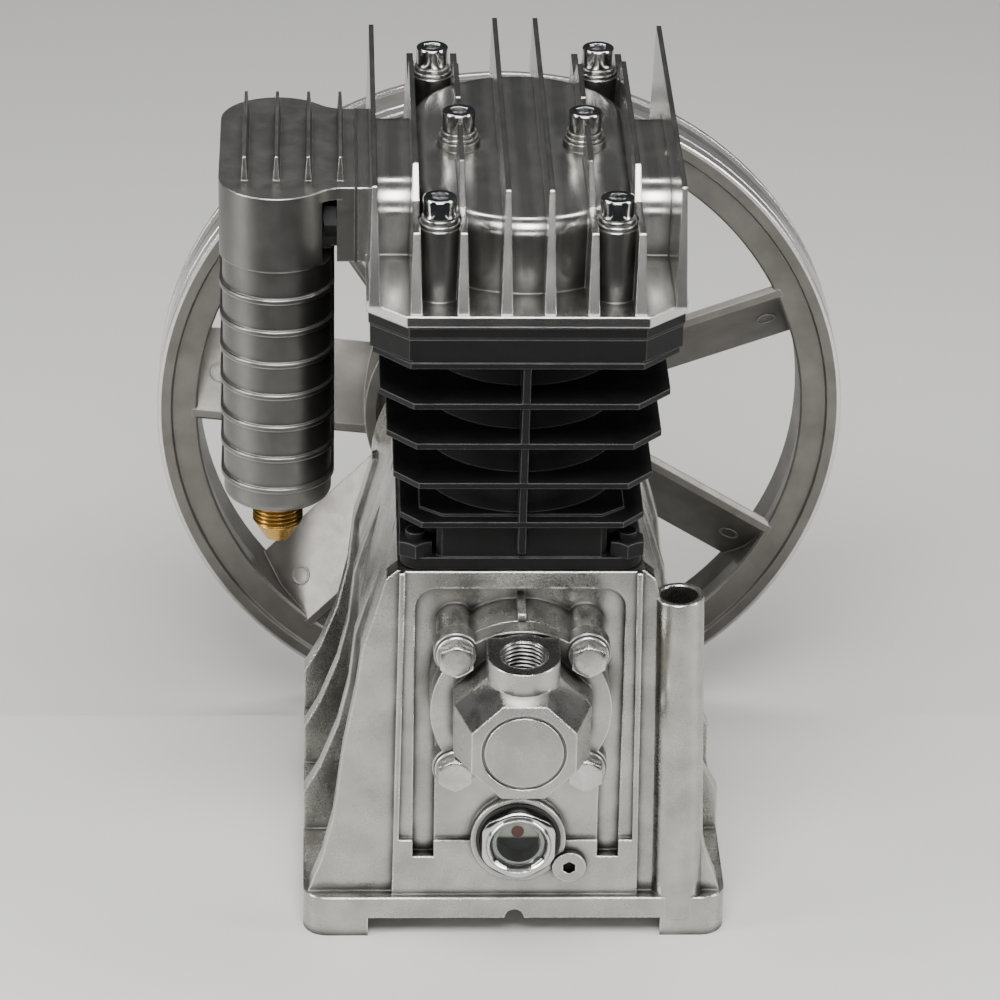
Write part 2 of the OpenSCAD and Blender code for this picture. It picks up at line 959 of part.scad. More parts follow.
module drain_washer() {
    color("peru") translate([plug_offset, plug_seat, plug_height])
        ring_along_y(-plug_paper, plug_paper, plug_paper_radius, plug_thread);
}

// Cylinder block

module head_screw_places() {
    for (row = bolt_rows(), x = [-1, 1])
        translate([x * screw_offset(row), row * bore_pitch, 0]) children();
}

function fin_half_width(i) = first_half_width - i * fin_side_step;
function fin_half_length(i) = first_half_length - i * fin_end_step;
function fin_cut(i) = first_cut - cut_step * i;
function fin_height(i) = block_top - top_band - i * block_fin_pitch;

module barrels(radius, height) {
    for (side = [-1, 1]) translate([0, side * bore_half, 0]) cylinder(r = radius, h = height);
}

module fin_outline(i, inset) {
    cut_corners(fin_half_width(i) - inset, fin_half_length(i) - inset, fin_cut(i), fin_cut(i) + cut_extra);
}

// Flat rib down the middle of one end, following the set back of the fins
module middle_rib(start, first, last) {
    foot = block_bottom + rib_above_foot;
    translate([block_rib / 2, 0, 0]) rotate([0, -90, 0]) linear_extrude(block_rib) polygon([
        [fin_height(0), start], [fin_height(0), first - band_inset],
        [fin_height(block_fin_count - 1), last - band_inset],
        [foot, last - rib_foot_set_back], [foot, start]
    ]);
}

module cylinder_block() {
    last = block_fin_count - 1;
    color("#202124") difference() {
        union() {
            translate([0, 0, block_bottom]) {
                barrels(bore / 2 + skirt_wall, block_height);
                linear_extrude(block_height) square([block_web, bore_pitch], center = true);
                // Foot with its bolting flange
                linear_extrude(foot_thickness) rounded(foot_across, foot_along, foot_corner);
                linear_extrude(waist_height)
                    cut_corners(waist_half_width, waist_half_length, waist_cut_across, waist_cut_along);
            }
            translate([0, 0, block_top - top_flange]) linear_extrude(top_flange)
                cut_corners(top_half_width, top_half_length, top_cut_across, top_cut_along);
            translate([0, 0, fin_height(0)]) linear_extrude(top_band) fin_outline(0, band_inset);
            for (i = [0:last])
                translate([0, 0, fin_height(i)]) linear_extrude(block_fin) fin_outline(i, 0);
            for (turn = [0, 180]) {
                rotate([0, 0, turn]) middle_rib(end_rib_start, fin_half_length(0), fin_half_length(last));
                rotate([0, 0, turn + 90]) middle_rib(side_rib_start, fin_half_width(0), fin_half_width(last));
            }
        }
        translate([0, 0, block_bottom - overrun]) barrels(bore / 2, block_height + 2 * overrun);
        head_screw_places() translate([0, 0, fin_height(0) + column_floor])
            cylinder(d = thread, h = top_band);
        block_stud_places() translate([0, 0, block_bottom - overrun])
            cylinder(d = screw_hole, h = foot_thickness + 2 * overrun);
        // Clear corners above the nuts
        block_stud_places() translate([0, 0, foot_top])
            cylinder(r = nut_clearance, h = nut_clearance_height);
    }
}

module block_gasket() {
    color("gray") translate([0, 0, case_top]) linear_extrude(base_paper) difference() {
        rounded(foot_across - 2 * gasket_inset, foot_along - 2 * gasket_inset, foot_corner);
        for (side = [-1, 1]) translate([0, side * bore_half]) circle(r = well_radius);
        for (y = [-1, 0, 1], x = [-1, 1]) translate([x * stud_across / 2, y * stud_along / 2])
            circle(d = screw_hole);
    }
}

module block_studs() {
    color("gray") block_stud_places() translate([0, 0, case_top - stud_depth])
        cylinder(r = stem_radius, h = stud_depth + stud_above);
}

module block_nuts() {
    color("gray") block_stud_places() translate([0, 0, foot_top]) difference() {
        cylinder(d = hex_flats * flats_to_corners, h = nut, $fn = 6);
        translate([0, 0, -overrun]) cylinder(d = thread, h = nut + 2 * overrun);
    }
}

// Valve plate and reeds

module valve_port_places(side) {
    for (y = [-1, 1], step = [-1, 1])
        translate([side * port_across, y * bore_half + step * port_step, 0]) children();
}

module plate_outline(shrink) {
    cut_corners(head_half_width - shrink, head_half_length - shrink, plate_cut_across, plate_cut_along);
}

module screw_circles() {
    for (row = bolt_rows(), x = [-1, 1])
        translate([x * screw_offset(row), row * bore_pitch]) circle(d = screw_hole);
}

module valve_plate_gasket() {
    color("gray") translate([0, 0, block_top]) linear_extrude(head_paper) difference() {
        plate_outline(gasket_shrink);
        for (side = [-1, 1]) translate([0, side * bore_half]) circle(d = bore);
        screw_circles();
    }
}

module head_gasket() {
    color("gray") translate([0, 0, plate_top]) linear_extrude(head_paper) difference() {
        plate_outline(gasket_shrink);
        for (side = [-1, 1]) translate([side * chamber_offset, 0])
            rounded(chamber_width + 2 * chamber_clear, chamber_length + 2 * chamber_clear, chamber_corner);
        screw_circles();
    }
}

module rivet_places(side) {
    for (y = [-1, 1]) translate([side * port_across, y * (bore_half + rivet_along), 0]) children();
}

module valve_plate() {
    through = plate_thickness + 2 * overrun;
    color("slategray") translate([0, 0, plate_bottom]) difference() {
        linear_extrude(plate_thickness) plate_outline(plate_shrink);
        for (side = [-1, 1]) {
            valve_port_places(side) translate([0, 0, -overrun]) cylinder(r = port_hole, h = through);
            rivet_places(side) translate([0, 0, -overrun]) cylinder(d = rivet_hole, h = through);
        }
        head_screw_places() translate([0, 0, -overrun]) cylinder(d = screw_hole, h = through);
    }
}

module reed_pair(side) {
    linear_extrude(reed_thickness) difference() {
        for (y = [-1, 1]) translate([side * port_across, y * (bore_half + reed_shift)])
            rounded(reed_width, reed_length, reed_corner);
        rivet_places(side) circle(d = rivet_hole);
    }
}

module suction_reeds() {
    color("slategray") translate([0, 0, plate_bottom - reed_thickness]) reed_pair(1);
}

module discharge_reeds() {
    color("slategray") translate([0, 0, plate_top]) reed_pair(-1);
}

module reed_stops() {
    color("gray") translate([0, 0, plate_top + reed_thickness]) difference() {
        for (y = [-1, 1]) translate([-port_across, y * (bore_half + reed_shift), 0])
            linear_extrude(stop_thickness) rounded(stop_width, reed_length, stop_corner);
        // Room under the free end, so that the reed can lift
        for (y = [-1, 1]) translate([
            -port_across - stop_clear_width / 2,
            y * (bore_half + reed_shift) - (y > 0 ? stop_clear_far : stop_clear_near), -overrun
        ]) cube([stop_clear_width, stop_clear_length, overrun + stop_lift]);
        rivet_places(-1) translate([0, 0, -overrun])
            cylinder(d = rivet_hole, h = stop_thickness + 2 * overrun);
    }
}

module reed_rivets() {
    above = plate_thickness + reed_thickness + stop_thickness;
    color("silver") {
        rivet_places(-1) translate([0, 0, plate_bottom + running_gap]) {
            cylinder(d = rivet, h = above - running_gap);
            translate([0, 0, above - running_gap]) cylinder(d = rivet_head, h = rivet_head_height);
        }
        rivet_places(1) translate([0, 0, plate_bottom - reed_thickness]) {
            cylinder(d = rivet, h = plate_thickness + reed_thickness - running_gap);
            translate([0, 0, -rivet_head_height]) cylinder(d = rivet_head, h = rivet_head_height);
        }
    }
}

// Cylinder head

// Half outline of the dome and of the cooler's foot, with a rounded edge
module dome_profile(radius, height, fillet) {
    square([radius - fillet, height]);
    square([radius, height - fillet]);
    translate([radius - fillet, height - fillet]) circle(r = fillet);
}

// Dome outline turned for the ends and run straight between them
module dome(radius, height, fillet, half) {
    for (side = [-1, 1]) translate([0, side * half, 0]) rotate_extrude() intersection() {
        dome_profile(radius, height, fillet);
        square([radius, height]);
    }
    translate([0, half, 0]) rotate([90, 0, 0]) linear_extrude(2 * half) {
        dome_profile(radius, height, fillet);
        mirror([1, 0]) dome_profile(radius, height, fillet);
    }
}

// A fin standing along Y, thicker at its foot than at its top
module drafted_fin(height) {
    rotate([90, 0, 0]) translate([0, 0, -head_half_length]) linear_extrude(2 * head_half_length) polygon([
        [-fin_foot_thickness / 2, 0], [fin_foot_thickness / 2, 0],
        [fin_top_thickness / 2, height], [-fin_top_thickness / 2, height]
    ]);
}

module side_slab() {
    translate([-fin_slab / 2, 0, 0]) rotate([90, 0, 90]) linear_extrude(fin_slab) children();
}

module head_fin(offset, height, points) {
    translate([offset, 0, 0]) intersection() {
        drafted_fin(height);
        side_slab() mirrored_outline(points);
    }
}

module inner_fin(offset) {
    translate([offset, 0, 0]) intersection() {
        drafted_fin(shoulder_fin);
        for (side = [-1, 1])
            side_slab() polygon([for (point = inner_fin_outline) [side * point[0], point[1]]]);
    }
}

module port_body_solid(side) {
    straight = port_half - port_corner;
    translate([side > 0 ? port_inner : -side_plate_offset, 0, 0]) rotate([90, 0, 90])
        linear_extrude(side_plate_offset - port_inner) {
            translate([-straight, 0]) square([2 * straight, port_body]);
            translate([-port_half, 0]) square([2 * port_half, port_body - port_corner]);
            for (y = [-1, 1]) translate([y * straight, port_body - port_corner]) circle(r = port_corner);
        }
}

module head_top_places() {
    for (row = bolt_rows(), x = [-1, 1])
        translate([x * screw_offset(row), row * bore_pitch, deck + (row == 0 ? middle_boss : screw_boss)])
        children();
}

module cooler_bolt_places() {
    for (y = [-1, 1]) translate([-flange_outside, y * cooler_bolt_along, deck + cooler_bolt_above])
        rotate([0, 90, 0]) children();
}

module cylinder_head() {
    color("silver") difference() {
        union() {
            translate([0, 0, head_bottom]) linear_extrude(head_plate) plate_outline(0);
            translate([0, 0, deck - running_gap]) {
                dome(dome_radius, dome_height, dome_fillet, dome_half);
                for (side = [-1, 1]) {
                    head_fin(side * middle_fin_offset, tall_fin, tall_fin_outline);
                    head_fin(side * outer_fin_offset, shoulder_fin, outer_fin_outline);
                    head_fin(side * side_plate_offset, tall_fin - side_plate_drop, side_plate_outline);
                    inner_fin(side * middle_screw_offset);
                    port_body_solid(side);
                }
                head_screw_places() cylinder(r = screw_boss_radius, h = screw_boss + running_gap);
                for (x = [-1, 1]) translate([x * middle_screw_offset, 0, 0])
                    cylinder(r = screw_boss_radius, h = middle_boss + running_gap);
            }
            // Bolting flange of the outlet on the left
            translate([-flange_outside, -port_half, port_flange_bottom])
                cube([flange_outside - side_plate_offset, 2 * port_half, flange_height]);
            // Round face of the intake on the right
            translate([side_plate_offset - intake_sunk, 0, port_height]) rotate([0, 90, 0])
                cylinder(r = intake_port + intake_wall, h = intake_face - side_plate_offset + intake_sunk);
        }
        // Discharge and suction chambers, with a column round each middle screw
        for (side = [-1, 1]) translate([0, 0, head_bottom - overrun])
            linear_extrude(chamber_height + overrun) difference() {
                translate([side * chamber_offset, 0]) rounded(chamber_width, chamber_length, chamber_corner);
                translate([side * middle_screw_offset, 0]) circle(r = screw_boss_radius);
            }
        translate([-flange_outside - overrun, 0, port_height]) rotate([0, 90, 0])
            cylinder(r = discharge_port, h = flange_outside - port_reach + overrun);
        translate([intake_face + overrun, 0, port_height]) rotate([0, -90, 0])
            cylinder(r = intake_port, h = intake_face - port_reach + overrun);
        cooler_bolt_places() translate([0, 0, -overrun]) cylinder(d = thread, h = cooler_screw_depth);
        // Screw holes and the seats of their washers
        head_screw_places() translate([0, 0, head_bottom - overrun])
            cylinder(d = screw_hole, h = screw_length);
        head_top_places() cylinder(r = washer_outer / 2 + gap, h = tall_fin);
    }
}

module washer_ring(outer, height) {
    difference() {
        cylinder(d = outer, h = height);
        translate([0, 0, -overrun]) cylinder(d = screw_hole, h = height + 2 * overrun);
    }
}

module head_washers() {
    color("silver") head_top_places() washer_ring(washer_outer, washer);
}

module head_spring_washers() {
    color("silver") head_top_places() translate([0, 0, washer]) washer_ring(spring_outer, spring);
}

module head_screws() {
    color("silver") head_top_places() translate([0, 0, washer + spring]) difference() {
        union() {
            cylinder(d = cap_head, h = cap_height);
            translate([0, 0, -screw_length])
                cylinder(r = stem_radius, h = screw_length + overrun);
        }
        translate([0, 0, cap_height - cap_socket_depth])
            cylinder(d = cap_socket * flats_to_corners, h = cap_socket_depth + overrun, $fn = 6);
    }
}

// Discharge cooler

module cooler_gasket() {
    color("black") difference() {
        translate([flange_face, -port_half, port_flange_bottom])
            cube([cooler_paper, 2 * port_half, flange_height]);
        translate([flange_face - overrun, 0, port_height]) rotate([0, 90, 0])
            cylinder(r = discharge_port, h = cooler_paper + 2 * overrun);
        cooler_bolt_places() translate([0, 0, -cooler_paper - overrun])
            cylinder(d = screw_hole, h = cooler_paper + 2 * overrun);
    }
}

// Plan of the cooler's top: the leg, and two hollow sweeps in to the flange
module cooler_plan() {
    stadium(cooler_width, cooler_length);
    translate([0, -port_half]) square([cooler_offset + flange_face, 2 * port_half]);
    for (side = [-1, 1]) difference() {
        polygon([
            [0, side * leg_arc_centre], [sweep_across, side * sweep_centre],
            [sweep_across, side * leg_arc_centre]
        ]);
        translate([sweep_across, side * sweep_centre]) circle(r = cooler_sweep);
    }
}

// Body of the leg with its rounded lower edge
module cooler_leg() {
    straight = cooler_height - 2 * cooler_edge;
    translate([0, 0, cooler_bottom + cooler_edge]) linear_extrude(straight) stadium(leg_width, leg_length);
    translate([0, 0, cooler_bottom + 2 * cooler_edge]) mirror([0, 0, 1])
        dome(leg_width / 2, 2 * cooler_edge, cooler_edge, (leg_length - leg_width) / 2);
}

module discharge_cooler() {
    shoulder = deck - cooler_shoulder;
    color("gray") difference() {
        union() {
            translate([-cooler_offset, 0, 0]) {
                cooler_leg();
                for (i = [0:ring_count - 1]) translate([0, 0, shoulder - i * ring_pitch])
                    linear_extrude(ring) stadium(cooler_width, cooler_length);
                translate([0, 0, shoulder]) linear_extrude(cooler_top - shoulder)
                    stadium(cooler_width, cooler_length);
                translate([0, 0, cooler_top - cooler_plate]) linear_extrude(cooler_plate) cooler_plan();
                // Arm to the head and its bolting flange
                translate([0, -cooler_arm_half, port_flange_bottom])
                    cube([cooler_offset + flange_face, 2 * cooler_arm_half, flange_height]);
            }
            translate([flange_face - cooler_flange, -port_half, port_flange_bottom])
                cube([cooler_flange, 2 * port_half, flange_height]);
            for (i = [0:cooler_fin_count - 1]) translate([
                cooler_fin_first - cooler_offset + i * cooler_fin_pitch, cooler_fin_half,
                cooler_top - running_gap
            ]) rotate([90, 0, 0]) linear_extrude(2 * cooler_fin_half)
                polygon([
                    [-cooler_fin_foot / 2, 0], [cooler_fin_foot / 2, 0],
                    [cooler_fin_top / 2, cooler_fin], [-cooler_fin_top / 2, cooler_fin]
                ]);
        }
        // Pockets for the bolt heads between leg and flange
        for (side = [-1, 1]) translate([
            flange_face - cooler_flange - pocket_width, side > 0 ? cooler_arm_half : -cooler_length,
            port_flange_bottom - overrun
        ]) cube([pocket_width, cooler_length - cooler_arm_half, flange_height - cooler_plate + overrun]);
        // Air way from the flange down to the outlet
        translate([-cooler_offset, 0, cooler_bottom + cooler_way_floor])
            linear_extrude(cooler_height - cooler_way_floor - cooler_way_roof)
            stadium(leg_width - 2 * cooler_wall, leg_length - 2 * cooler_wall);
        translate([-cooler_offset, 0, port_height]) rotate([0, 90, 0])
            cylinder(r = discharge_port, h = cooler_offset);
        translate([-cooler_offset, -outlet_forward, cooler_bottom - overrun])
            cylinder(r = outlet_hole, h = outlet_hole_depth + overrun);
        cooler_bolt_places() translate([0, 0, -cooler_flange - cooler_paper - overrun])
            cylinder(d = screw_hole, h = cooler_flange + cooler_paper + 2 * overrun);
    }
}

module cooler_bolts() {
    seat = -cooler_paper - cooler_flange;
    color("silver") cooler_bolt_places() {
        translate([0, 0, seat - cooler_bolt_head])
            cylinder(d = hex_flats * flats_to_corners, h = cooler_bolt_head, $fn = 6);
        translate([0, 0, seat - overrun])
            cylinder(r = stem_radius, h = cooler_bolt_stem + overrun);
    }
}

module outlet_fitting() {
    length = outlet_thread_length + outlet_taper;
    color("goldenrod") translate([-cooler_offset, -outlet_forward, cooler_bottom]) difference() {
        union() {
            translate([0, 0, -outlet_thread_length]) cylinder(r = outlet_thread, h = outlet_thread_length);
            translate([0, 0, -overrun]) cylinder(r = outlet_stem, h = outlet_stem_depth + overrun);
            translate([0, 0, -length]) cylinder(r1 = outlet_tip, r2 = outlet_thread, h = outlet_taper);
        }
        translate([0, 0, -length - overrun])
            cylinder(r = outlet_bore, h = length + outlet_stem_depth + 2 * overrun);
    }
}

// Bearings and rear carrier

module rear_carrier() {
    color("silver") at_shaft() difference() {
        union() {
            along_y(carrier_start, carrier_flange + carrier_drum, carrier_radius);
            along_y(wall_inside, end_plate + rear_pad + base_paper + overrun, rear_opening - gap);
        }
        along_y(wall_inside - overrun, rear_race_start + rear_race + race_clearance - wall_inside + overrun,
            rear_race_outer + running_gap);
        along_y(rear_race_start, rear_race + carrier_lip, rear_race_outer - carrier_lip);
        along_y(rear_race_start, carrier_nose - rear_race_start + overrun, carrier_throat);
        along_y(seal_start, seal + seal_inside + overrun, seal_outer);
        carrier_bolt_places() {
            along_y(carrier_back - overrun, carrier_flange + 2 * overrun, screw_hole / 2);
            along_y(carrier_face, carrier_drum + overrun, carrier_well);
        }
    }
}

module carrier_gasket() {
    color("gray") at_shaft() difference() {
        ring_along_y(carrier_back, base_paper, rear_pad_radius - 2 * gasket_inset, rear_opening + gap);
        carrier_bolt_places() along_y(carrier_back - overrun, base_paper + 2 * overrun, screw_hole / 2);
    }
}

module carrier_bolts_node() {
    color("silver") at_shaft() carrier_bolt_places() {
        hex_along_y(carrier_face, hex_head, hex_flats);
        along_y(carrier_face - carrier_bolt_stem, carrier_bolt_stem + overrun, stem_radius);
    }
}

module front_bearing_ring() {
    color("silver") at_shaft()
        ring_along_y(front_race_start, front_race, front_race_outer, front_race_outer - race);
}

module rear_bearing_ring() {
    color("silver") at_shaft()
        ring_along_y(rear_race_start, rear_race, rear_race_outer, rear_race_outer - race);
}

module bearing_inner_rings() {
    color("silver") at_shaft() {
        ring_along_y(front_race_start, front_race, front_race_bore + race, front_race_bore);
        ring_along_y(rear_race_start, rear_race, rear_race_bore + race, rear_race_bore);
    }
}

// Balls of one bearing, clear of both rings
module ball_row(start, width, outer, inner) {
    ball_radius = (outer - inner) / 2 - race - gap;
    for (turn = [0:ball_count - 1]) rotate([0, turn * 360 / ball_count, 0])
        translate([(outer + inner) / 2, start + width / 2, 0]) sphere(r = ball_radius, $fn = ball_facets);
}

module bearing_balls() {
    color("white") at_shaft() {
        ball_row(front_race_start, front_race, front_race_outer, front_race_bore);
        ball_row(rear_race_start, rear_race, rear_race_outer, rear_race_bore);
    }
}

module rear_oil_seal() {
    color("#303030") at_shaft() ring_along_y(seal_start, seal, seal_outer, seal_bore);
}

// Crankshaft and flywheel

// One web with its counterweight away from the throw
module crank_web(start, side) {
    prism_along_y(start, web) difference() {
        union() {
            circle(r = journal_shoulder + web_ring);
            translate([0, side * throw]) circle(r = web_radius);
            translate([-web_radius, side > 0 ? 0 : -throw]) square([2 * web_radius, throw]);
            intersection() {
                circle(r = weight_radius);
                translate([-weight_radius, side > 0 ? -weight_radius - weight_step : weight_step])
                    square([2 * weight_radius, weight_radius]);
            }
        }
        translate([0, side * throw]) circle(r = crankpin_bore);
    }
}

module key_way(width, height) {
    translate([-width / 2, hub_front + key_front, shaft_radius - key_depth])
        cube([width, key_length, height]);
}

module crankshaft() {
    color("gray") at_shaft() difference() {
        union() {
            crank_web(-web_out, 1);
            crank_web(-bore_half + web_half, 1);
            crank_web(bore_half - web_half - web, -1);
            crank_web(bore_half + web_half, -1);
            along_y(-bore_half + web_half, bore_pitch - 2 * web_half, journal_shoulder);
            along_y(-web_out - front_shoulder_length, front_shoulder_length + overrun, journal_shoulder);
            along_y(shaft_start - housing_front, housing_front - shaft_start - web_out + overrun,
                front_race_bore);
            along_y(web_out - overrun, rear_race_start - web_out + overrun, rear_shoulder);
            along_y(web_out, carrier_nose - web_out, rear_race_bore);
            along_y(web_out, shaft_end - web_out, shaft_radius);
        }
        along_y(shaft_end - wheel_bolt_depth, wheel_bolt_depth + overrun, wheel_bolt_hole);
        key_way(key_width, key_cut);
    }
}

module flywheel_key() {
    color("gray") at_shaft() key_way(key_width - key_slack, key_depth + key_rise);
}

// Rim section: distance from the axis, distance behind the front face
module rim_section() {
    radius = wheel_diameter / 2;
    middle = groove_start + groove_top / 2;
    line_end = line_start + line_width;
    polygon([
        [radius, rim_chamfer], [radius - rim_chamfer, 0], [radius - rim_land, 0],
        [radius - rim_land - rim_slope, rim_step], [rim_inner + rim_lip, rim_step],
        [rim_inner, rim_step + rim_lip], [rim_inner + rim_draft, rim_width / 2],
        [rim_inner, rim_width - rim_lip], [rim_inner + rim_lip, rim_width], [radius, rim_width],
        [radius, groove_start + groove_top], [radius - groove_depth, middle + groove_floor / 2],
        [radius - groove_depth, middle - groove_floor / 2], [radius, groove_start],
        [radius, line_end], [radius - line_depth, line_end - line_slope],
        [radius - line_depth, line_start + line_slope], [radius, line_start]
    ]);
}

// Hub: boss with its bore, web, and the drum that carries the blades
module hub_section() {
    inner = drum_radius - drum_wall;
    front = wheel_front + drum_inset;
    back = wheel_front + rim_width - drum_inset;
    polygon([
        [shaft_radius, hub_front], [hub_radius - hub_draft, hub_front], [hub_radius, front + drum_face],
        [inner - drum_draft, front + drum_face], [inner, front], [drum_radius, front],
        [drum_radius, back], [inner, back], [inner - drum_draft, back - drum_back],
        [hub_radius, back - drum_back], [hub_radius, hub_end], [washer_seat_radius, hub_end],
        [washer_seat_radius, hub_end - washer_seat], [shaft_radius, hub_end - washer_seat]
    ]);
}

module fan_blade() {
    length = sqrt(blade_across * blade_across + blade_deep * blade_deep);
    pitch = atan(blade_deep / blade_across);
    start = drum_radius - blade_root;
    intersection() {
        translate([0, wheel_front + rim_width / 2, 0]) rotate([pitch, 0, 0])
            translate([start, -blade / 2, -length / 2])
            cube([rim_inner + blade_sunk + overrun - start, blade, length]);
        along_y(wheel_front + blade_set_back, rim_width - 2 * blade_set_back, rim_inner + blade_sunk);
    }
}

module flywheel() {
    color("gray") at_shaft() difference() {
        union() {
            translate([0, wheel_front, 0]) rotate([-90, 0, 0]) rotate_extrude() rim_section();
            for (turn = [0:blade_count - 1])
                rotate([0, -blade_phase - turn * 360 / blade_count, 0]) fan_blade();
            rotate([-90, 0, 0]) rotate_extrude() hub_section();
        }
        translate([-key_width / 2, hub_front - overrun, shaft_radius - key_depth])
            cube([key_width, hub_end - hub_front + 2 * overrun, key_depth + key_rise + key_room]);
    }
}

module flywheel_washer() {
    color("silver") at_shaft()
        ring_along_y(hub_end - washer_seat, wheel_washer, wheel_washer_radius, wheel_bolt_hole + gap);
}

module flywheel_bolt() {
    seat = hub_end - washer_seat + wheel_washer;
    color("silver") at_shaft() {
        hex_along_y(seat, wheel_bolt_head, wheel_bolt_flats);
        along_y(seat - wheel_bolt_stem, wheel_bolt_stem + overrun, wheel_bolt_radius);
    }
}

// Pistons and rods

// Places of the two running sets: bore centre along Y, height of the crankpin
front_set = [-bore_half, crank_height + throw];
rear_set = [bore_half, crank_height - throw];

// Frame with its origin in the wrist pin
module set_frame(set) {
    translate([0, set[0], set[1] + rod_length]) children();
}

module piston(set) {
    radius = bore / 2 - running_gap;
    skirt = compression - piston_length;
    color("silver") set_frame(set) difference() {
        union() {
            difference() {
                translate([0, 0, skirt]) cylinder(r = radius, h = piston_length);
                for (i = [1:ring_grooves]) translate([0, 0, compression - i * ring_land]) difference() {
                    cylinder(r = radius + overrun, h = ring_groove);
                    translate([0, 0, -overrun])
                        cylinder(r = radius - ring_groove_depth, h = ring_groove + 2 * overrun);
                }
                translate([0, 0, skirt - overrun])
                    cylinder(r = radius - piston_wall, h = piston_length - piston_crown + overrun);
            }
            for (side = [-1, 1])
                along_y(side > 0 ? pin_boss_length : -2 * pin_boss_length, pin_boss_length, pin_boss);
        }
        along_y(-bore, 2 * bore, pin_radius);
    }
}

module piston_rings(set) {
    color("gray") set_frame(set) for (i = [1:ring_grooves])
        translate([0, 0, compression - i * ring_land + ring_slack]) linear_extrude(ring_height) difference() {
            circle(r = bore / 2 - ring_bore_gap);
            circle(r = bore / 2 - ring_thickness);
        }
}

module wrist_pin(set) {
    color("silver") set_frame(set) ring_along_y(-pin_length / 2, pin_length, pin_radius - pin_gap, pin_bore);
}

module big_end_frame() {
    translate([0, 0, -rod_length]) children();
}

// Box in the middle of the big end, from one height to another
module end_block(half, along, low, high) {
    translate([-half, -along, low]) cube([2 * half, 2 * along, high - low]);
}

module rod(set) {
    through = 2 * (rod_half + overrun);
    color("silver") set_frame(set) difference() {
        union() {
            along_y(-rod_half, 2 * rod_half, rod_eye);
            big_end_frame() along_y(-rod_half, 2 * rod_half, rod_end);
            prism_along_y(-rod_beam, 2 * rod_beam) polygon([
                [-rod_neck, -rod_neck_start], [rod_neck, -rod_neck_start],
                [rod_foot, rod_foot_start - rod_length], [-rod_foot, rod_foot_start - rod_length]
            ]);
            big_end_frame() end_block(rod_block_half, rod_block_along, 0, rod_block_above);
        }
        along_y(-through / 2, through, pin_radius + running_gap);
        big_end_frame() {
            along_y(-through / 2, through, crankpin_radius + running_gap);
            end_block(cap_cut, cap_cut, -cap_cut, 0);
            for (side = [-1, 1]) translate([side * rod_screw_offset, 0, -overrun])
                cylinder(r = rod_screw_hole, h = rod_screw_room);
        }
        for (side = [-1, 1]) translate([0, side > 0 ? rod_flute_start : -rod_flute_start - rod_flute, 0])
            prism_along_y(0, rod_flute) polygon([
                [-rod_flute_neck, -rod_flute_top], [rod_flute_neck, -rod_flute_top],
                [rod_flute_foot, rod_flute_bottom - rod_length],
                [-rod_flute_foot, rod_flute_bottom - rod_length]
            ]);
    }
}

module rod_cap(set) {
    through = 2 * (rod_half + overrun);
    color("silver") set_frame(set) big_end_frame() difference() {
        union() {
            along_y(-rod_half, 2 * rod_half, rod_end);
            end_block(rod_block_half, rod_block_along, -rod_block_below, 0);
            end_block(dipper_width / 2, dipper_depth / 2, -dipper_end, -dipper_start);
        }
        along_y(-through / 2, through, crankpin_radius + running_gap);
        end_block(cap_cut, cap_cut, 0, cap_cut);
        for (side = [-1, 1]) translate([side * rod_screw_offset, 0, -rod_block_below]) {
            translate([0, 0, -overrun]) cylinder(r = rod_cap_hole, h = rod_block_below + 2 * overrun);
            translate([0, 0, -rod_screw_seat]) cylinder(r = rod_screw_seat, h = rod_screw_seat);
        }
    }
}

module rod_screws(set) {
    color("gray") set_frame(set) big_end_frame()
        for (side = [-1, 1]) translate([side * rod_screw_offset, 0, -rod_block_below]) {
            translate([0, 0, -overrun])
                cylinder(r = rod_screw, h = rod_block_below + rod_screw_above + overrun);
            translate([0, 0, -rod_screw_head])
                cylinder(d = rod_screw_flats * flats_to_corners, h = rod_screw_head, $fn = 6);
        }
}

module crankpin(set) {
    color("silver") set_frame(set) big_end_frame()
        ring_along_y(-crankpin_length / 2, crankpin_length, crankpin_radius, crankpin_bore);
}

crankcase();
front_cover();
cover_gasket();
cover_bolts();
cover_washers();
sight_glass_body();
sight_glass_lens();
sight_glass_dot();
drain_plug();
drain_washer();
cylinder_block();
block_gasket();
block_studs();
block_nuts();
valve_plate_gasket();
valve_plate();
head_gasket();
suction_reeds();
discharge_reeds();
reed_stops();
reed_rivets();
cylinder_head();
head_screws();
head_spring_washers();
head_washers();
cooler_gasket();
discharge_cooler();
cooler_bolts();
outlet_fitting();
rear_carrier();
carrier_gasket();
carrier_bolts_node();  // carrier_bolts
front_bearing_ring();
rear_bearing_ring();
rear_oil_seal();
crankshaft();
bearing_inner_rings();
bearing_balls();
flywheel();
flywheel_key();
flywheel_bolt();
flywheel_washer();
piston(front_set);  // front_piston
piston_rings(front_set);  // front_rings
wrist_pin(front_set);  // front_wrist_pin
rod(front_set);  // front_rod
rod_cap(front_set);  // front_rod_cap
rod_screws(front_set);  // front_rod_screws
crankpin(front_set);  // front_crankpin
piston(rear_set);  // rear_piston
piston_rings(rear_set);  // rear_rings
wrist_pin(rear_set);  // rear_wrist_pin
rod(rear_set);  // rear_rod
rod_cap(rear_set);  // rear_rod_cap
rod_screws(rear_set);  // rear_rod_screws
crankpin(rear_set);  // rear_crankpin
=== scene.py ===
import math

import bmesh
import bpy
import numpy as np
from mathutils import Matrix, Vector


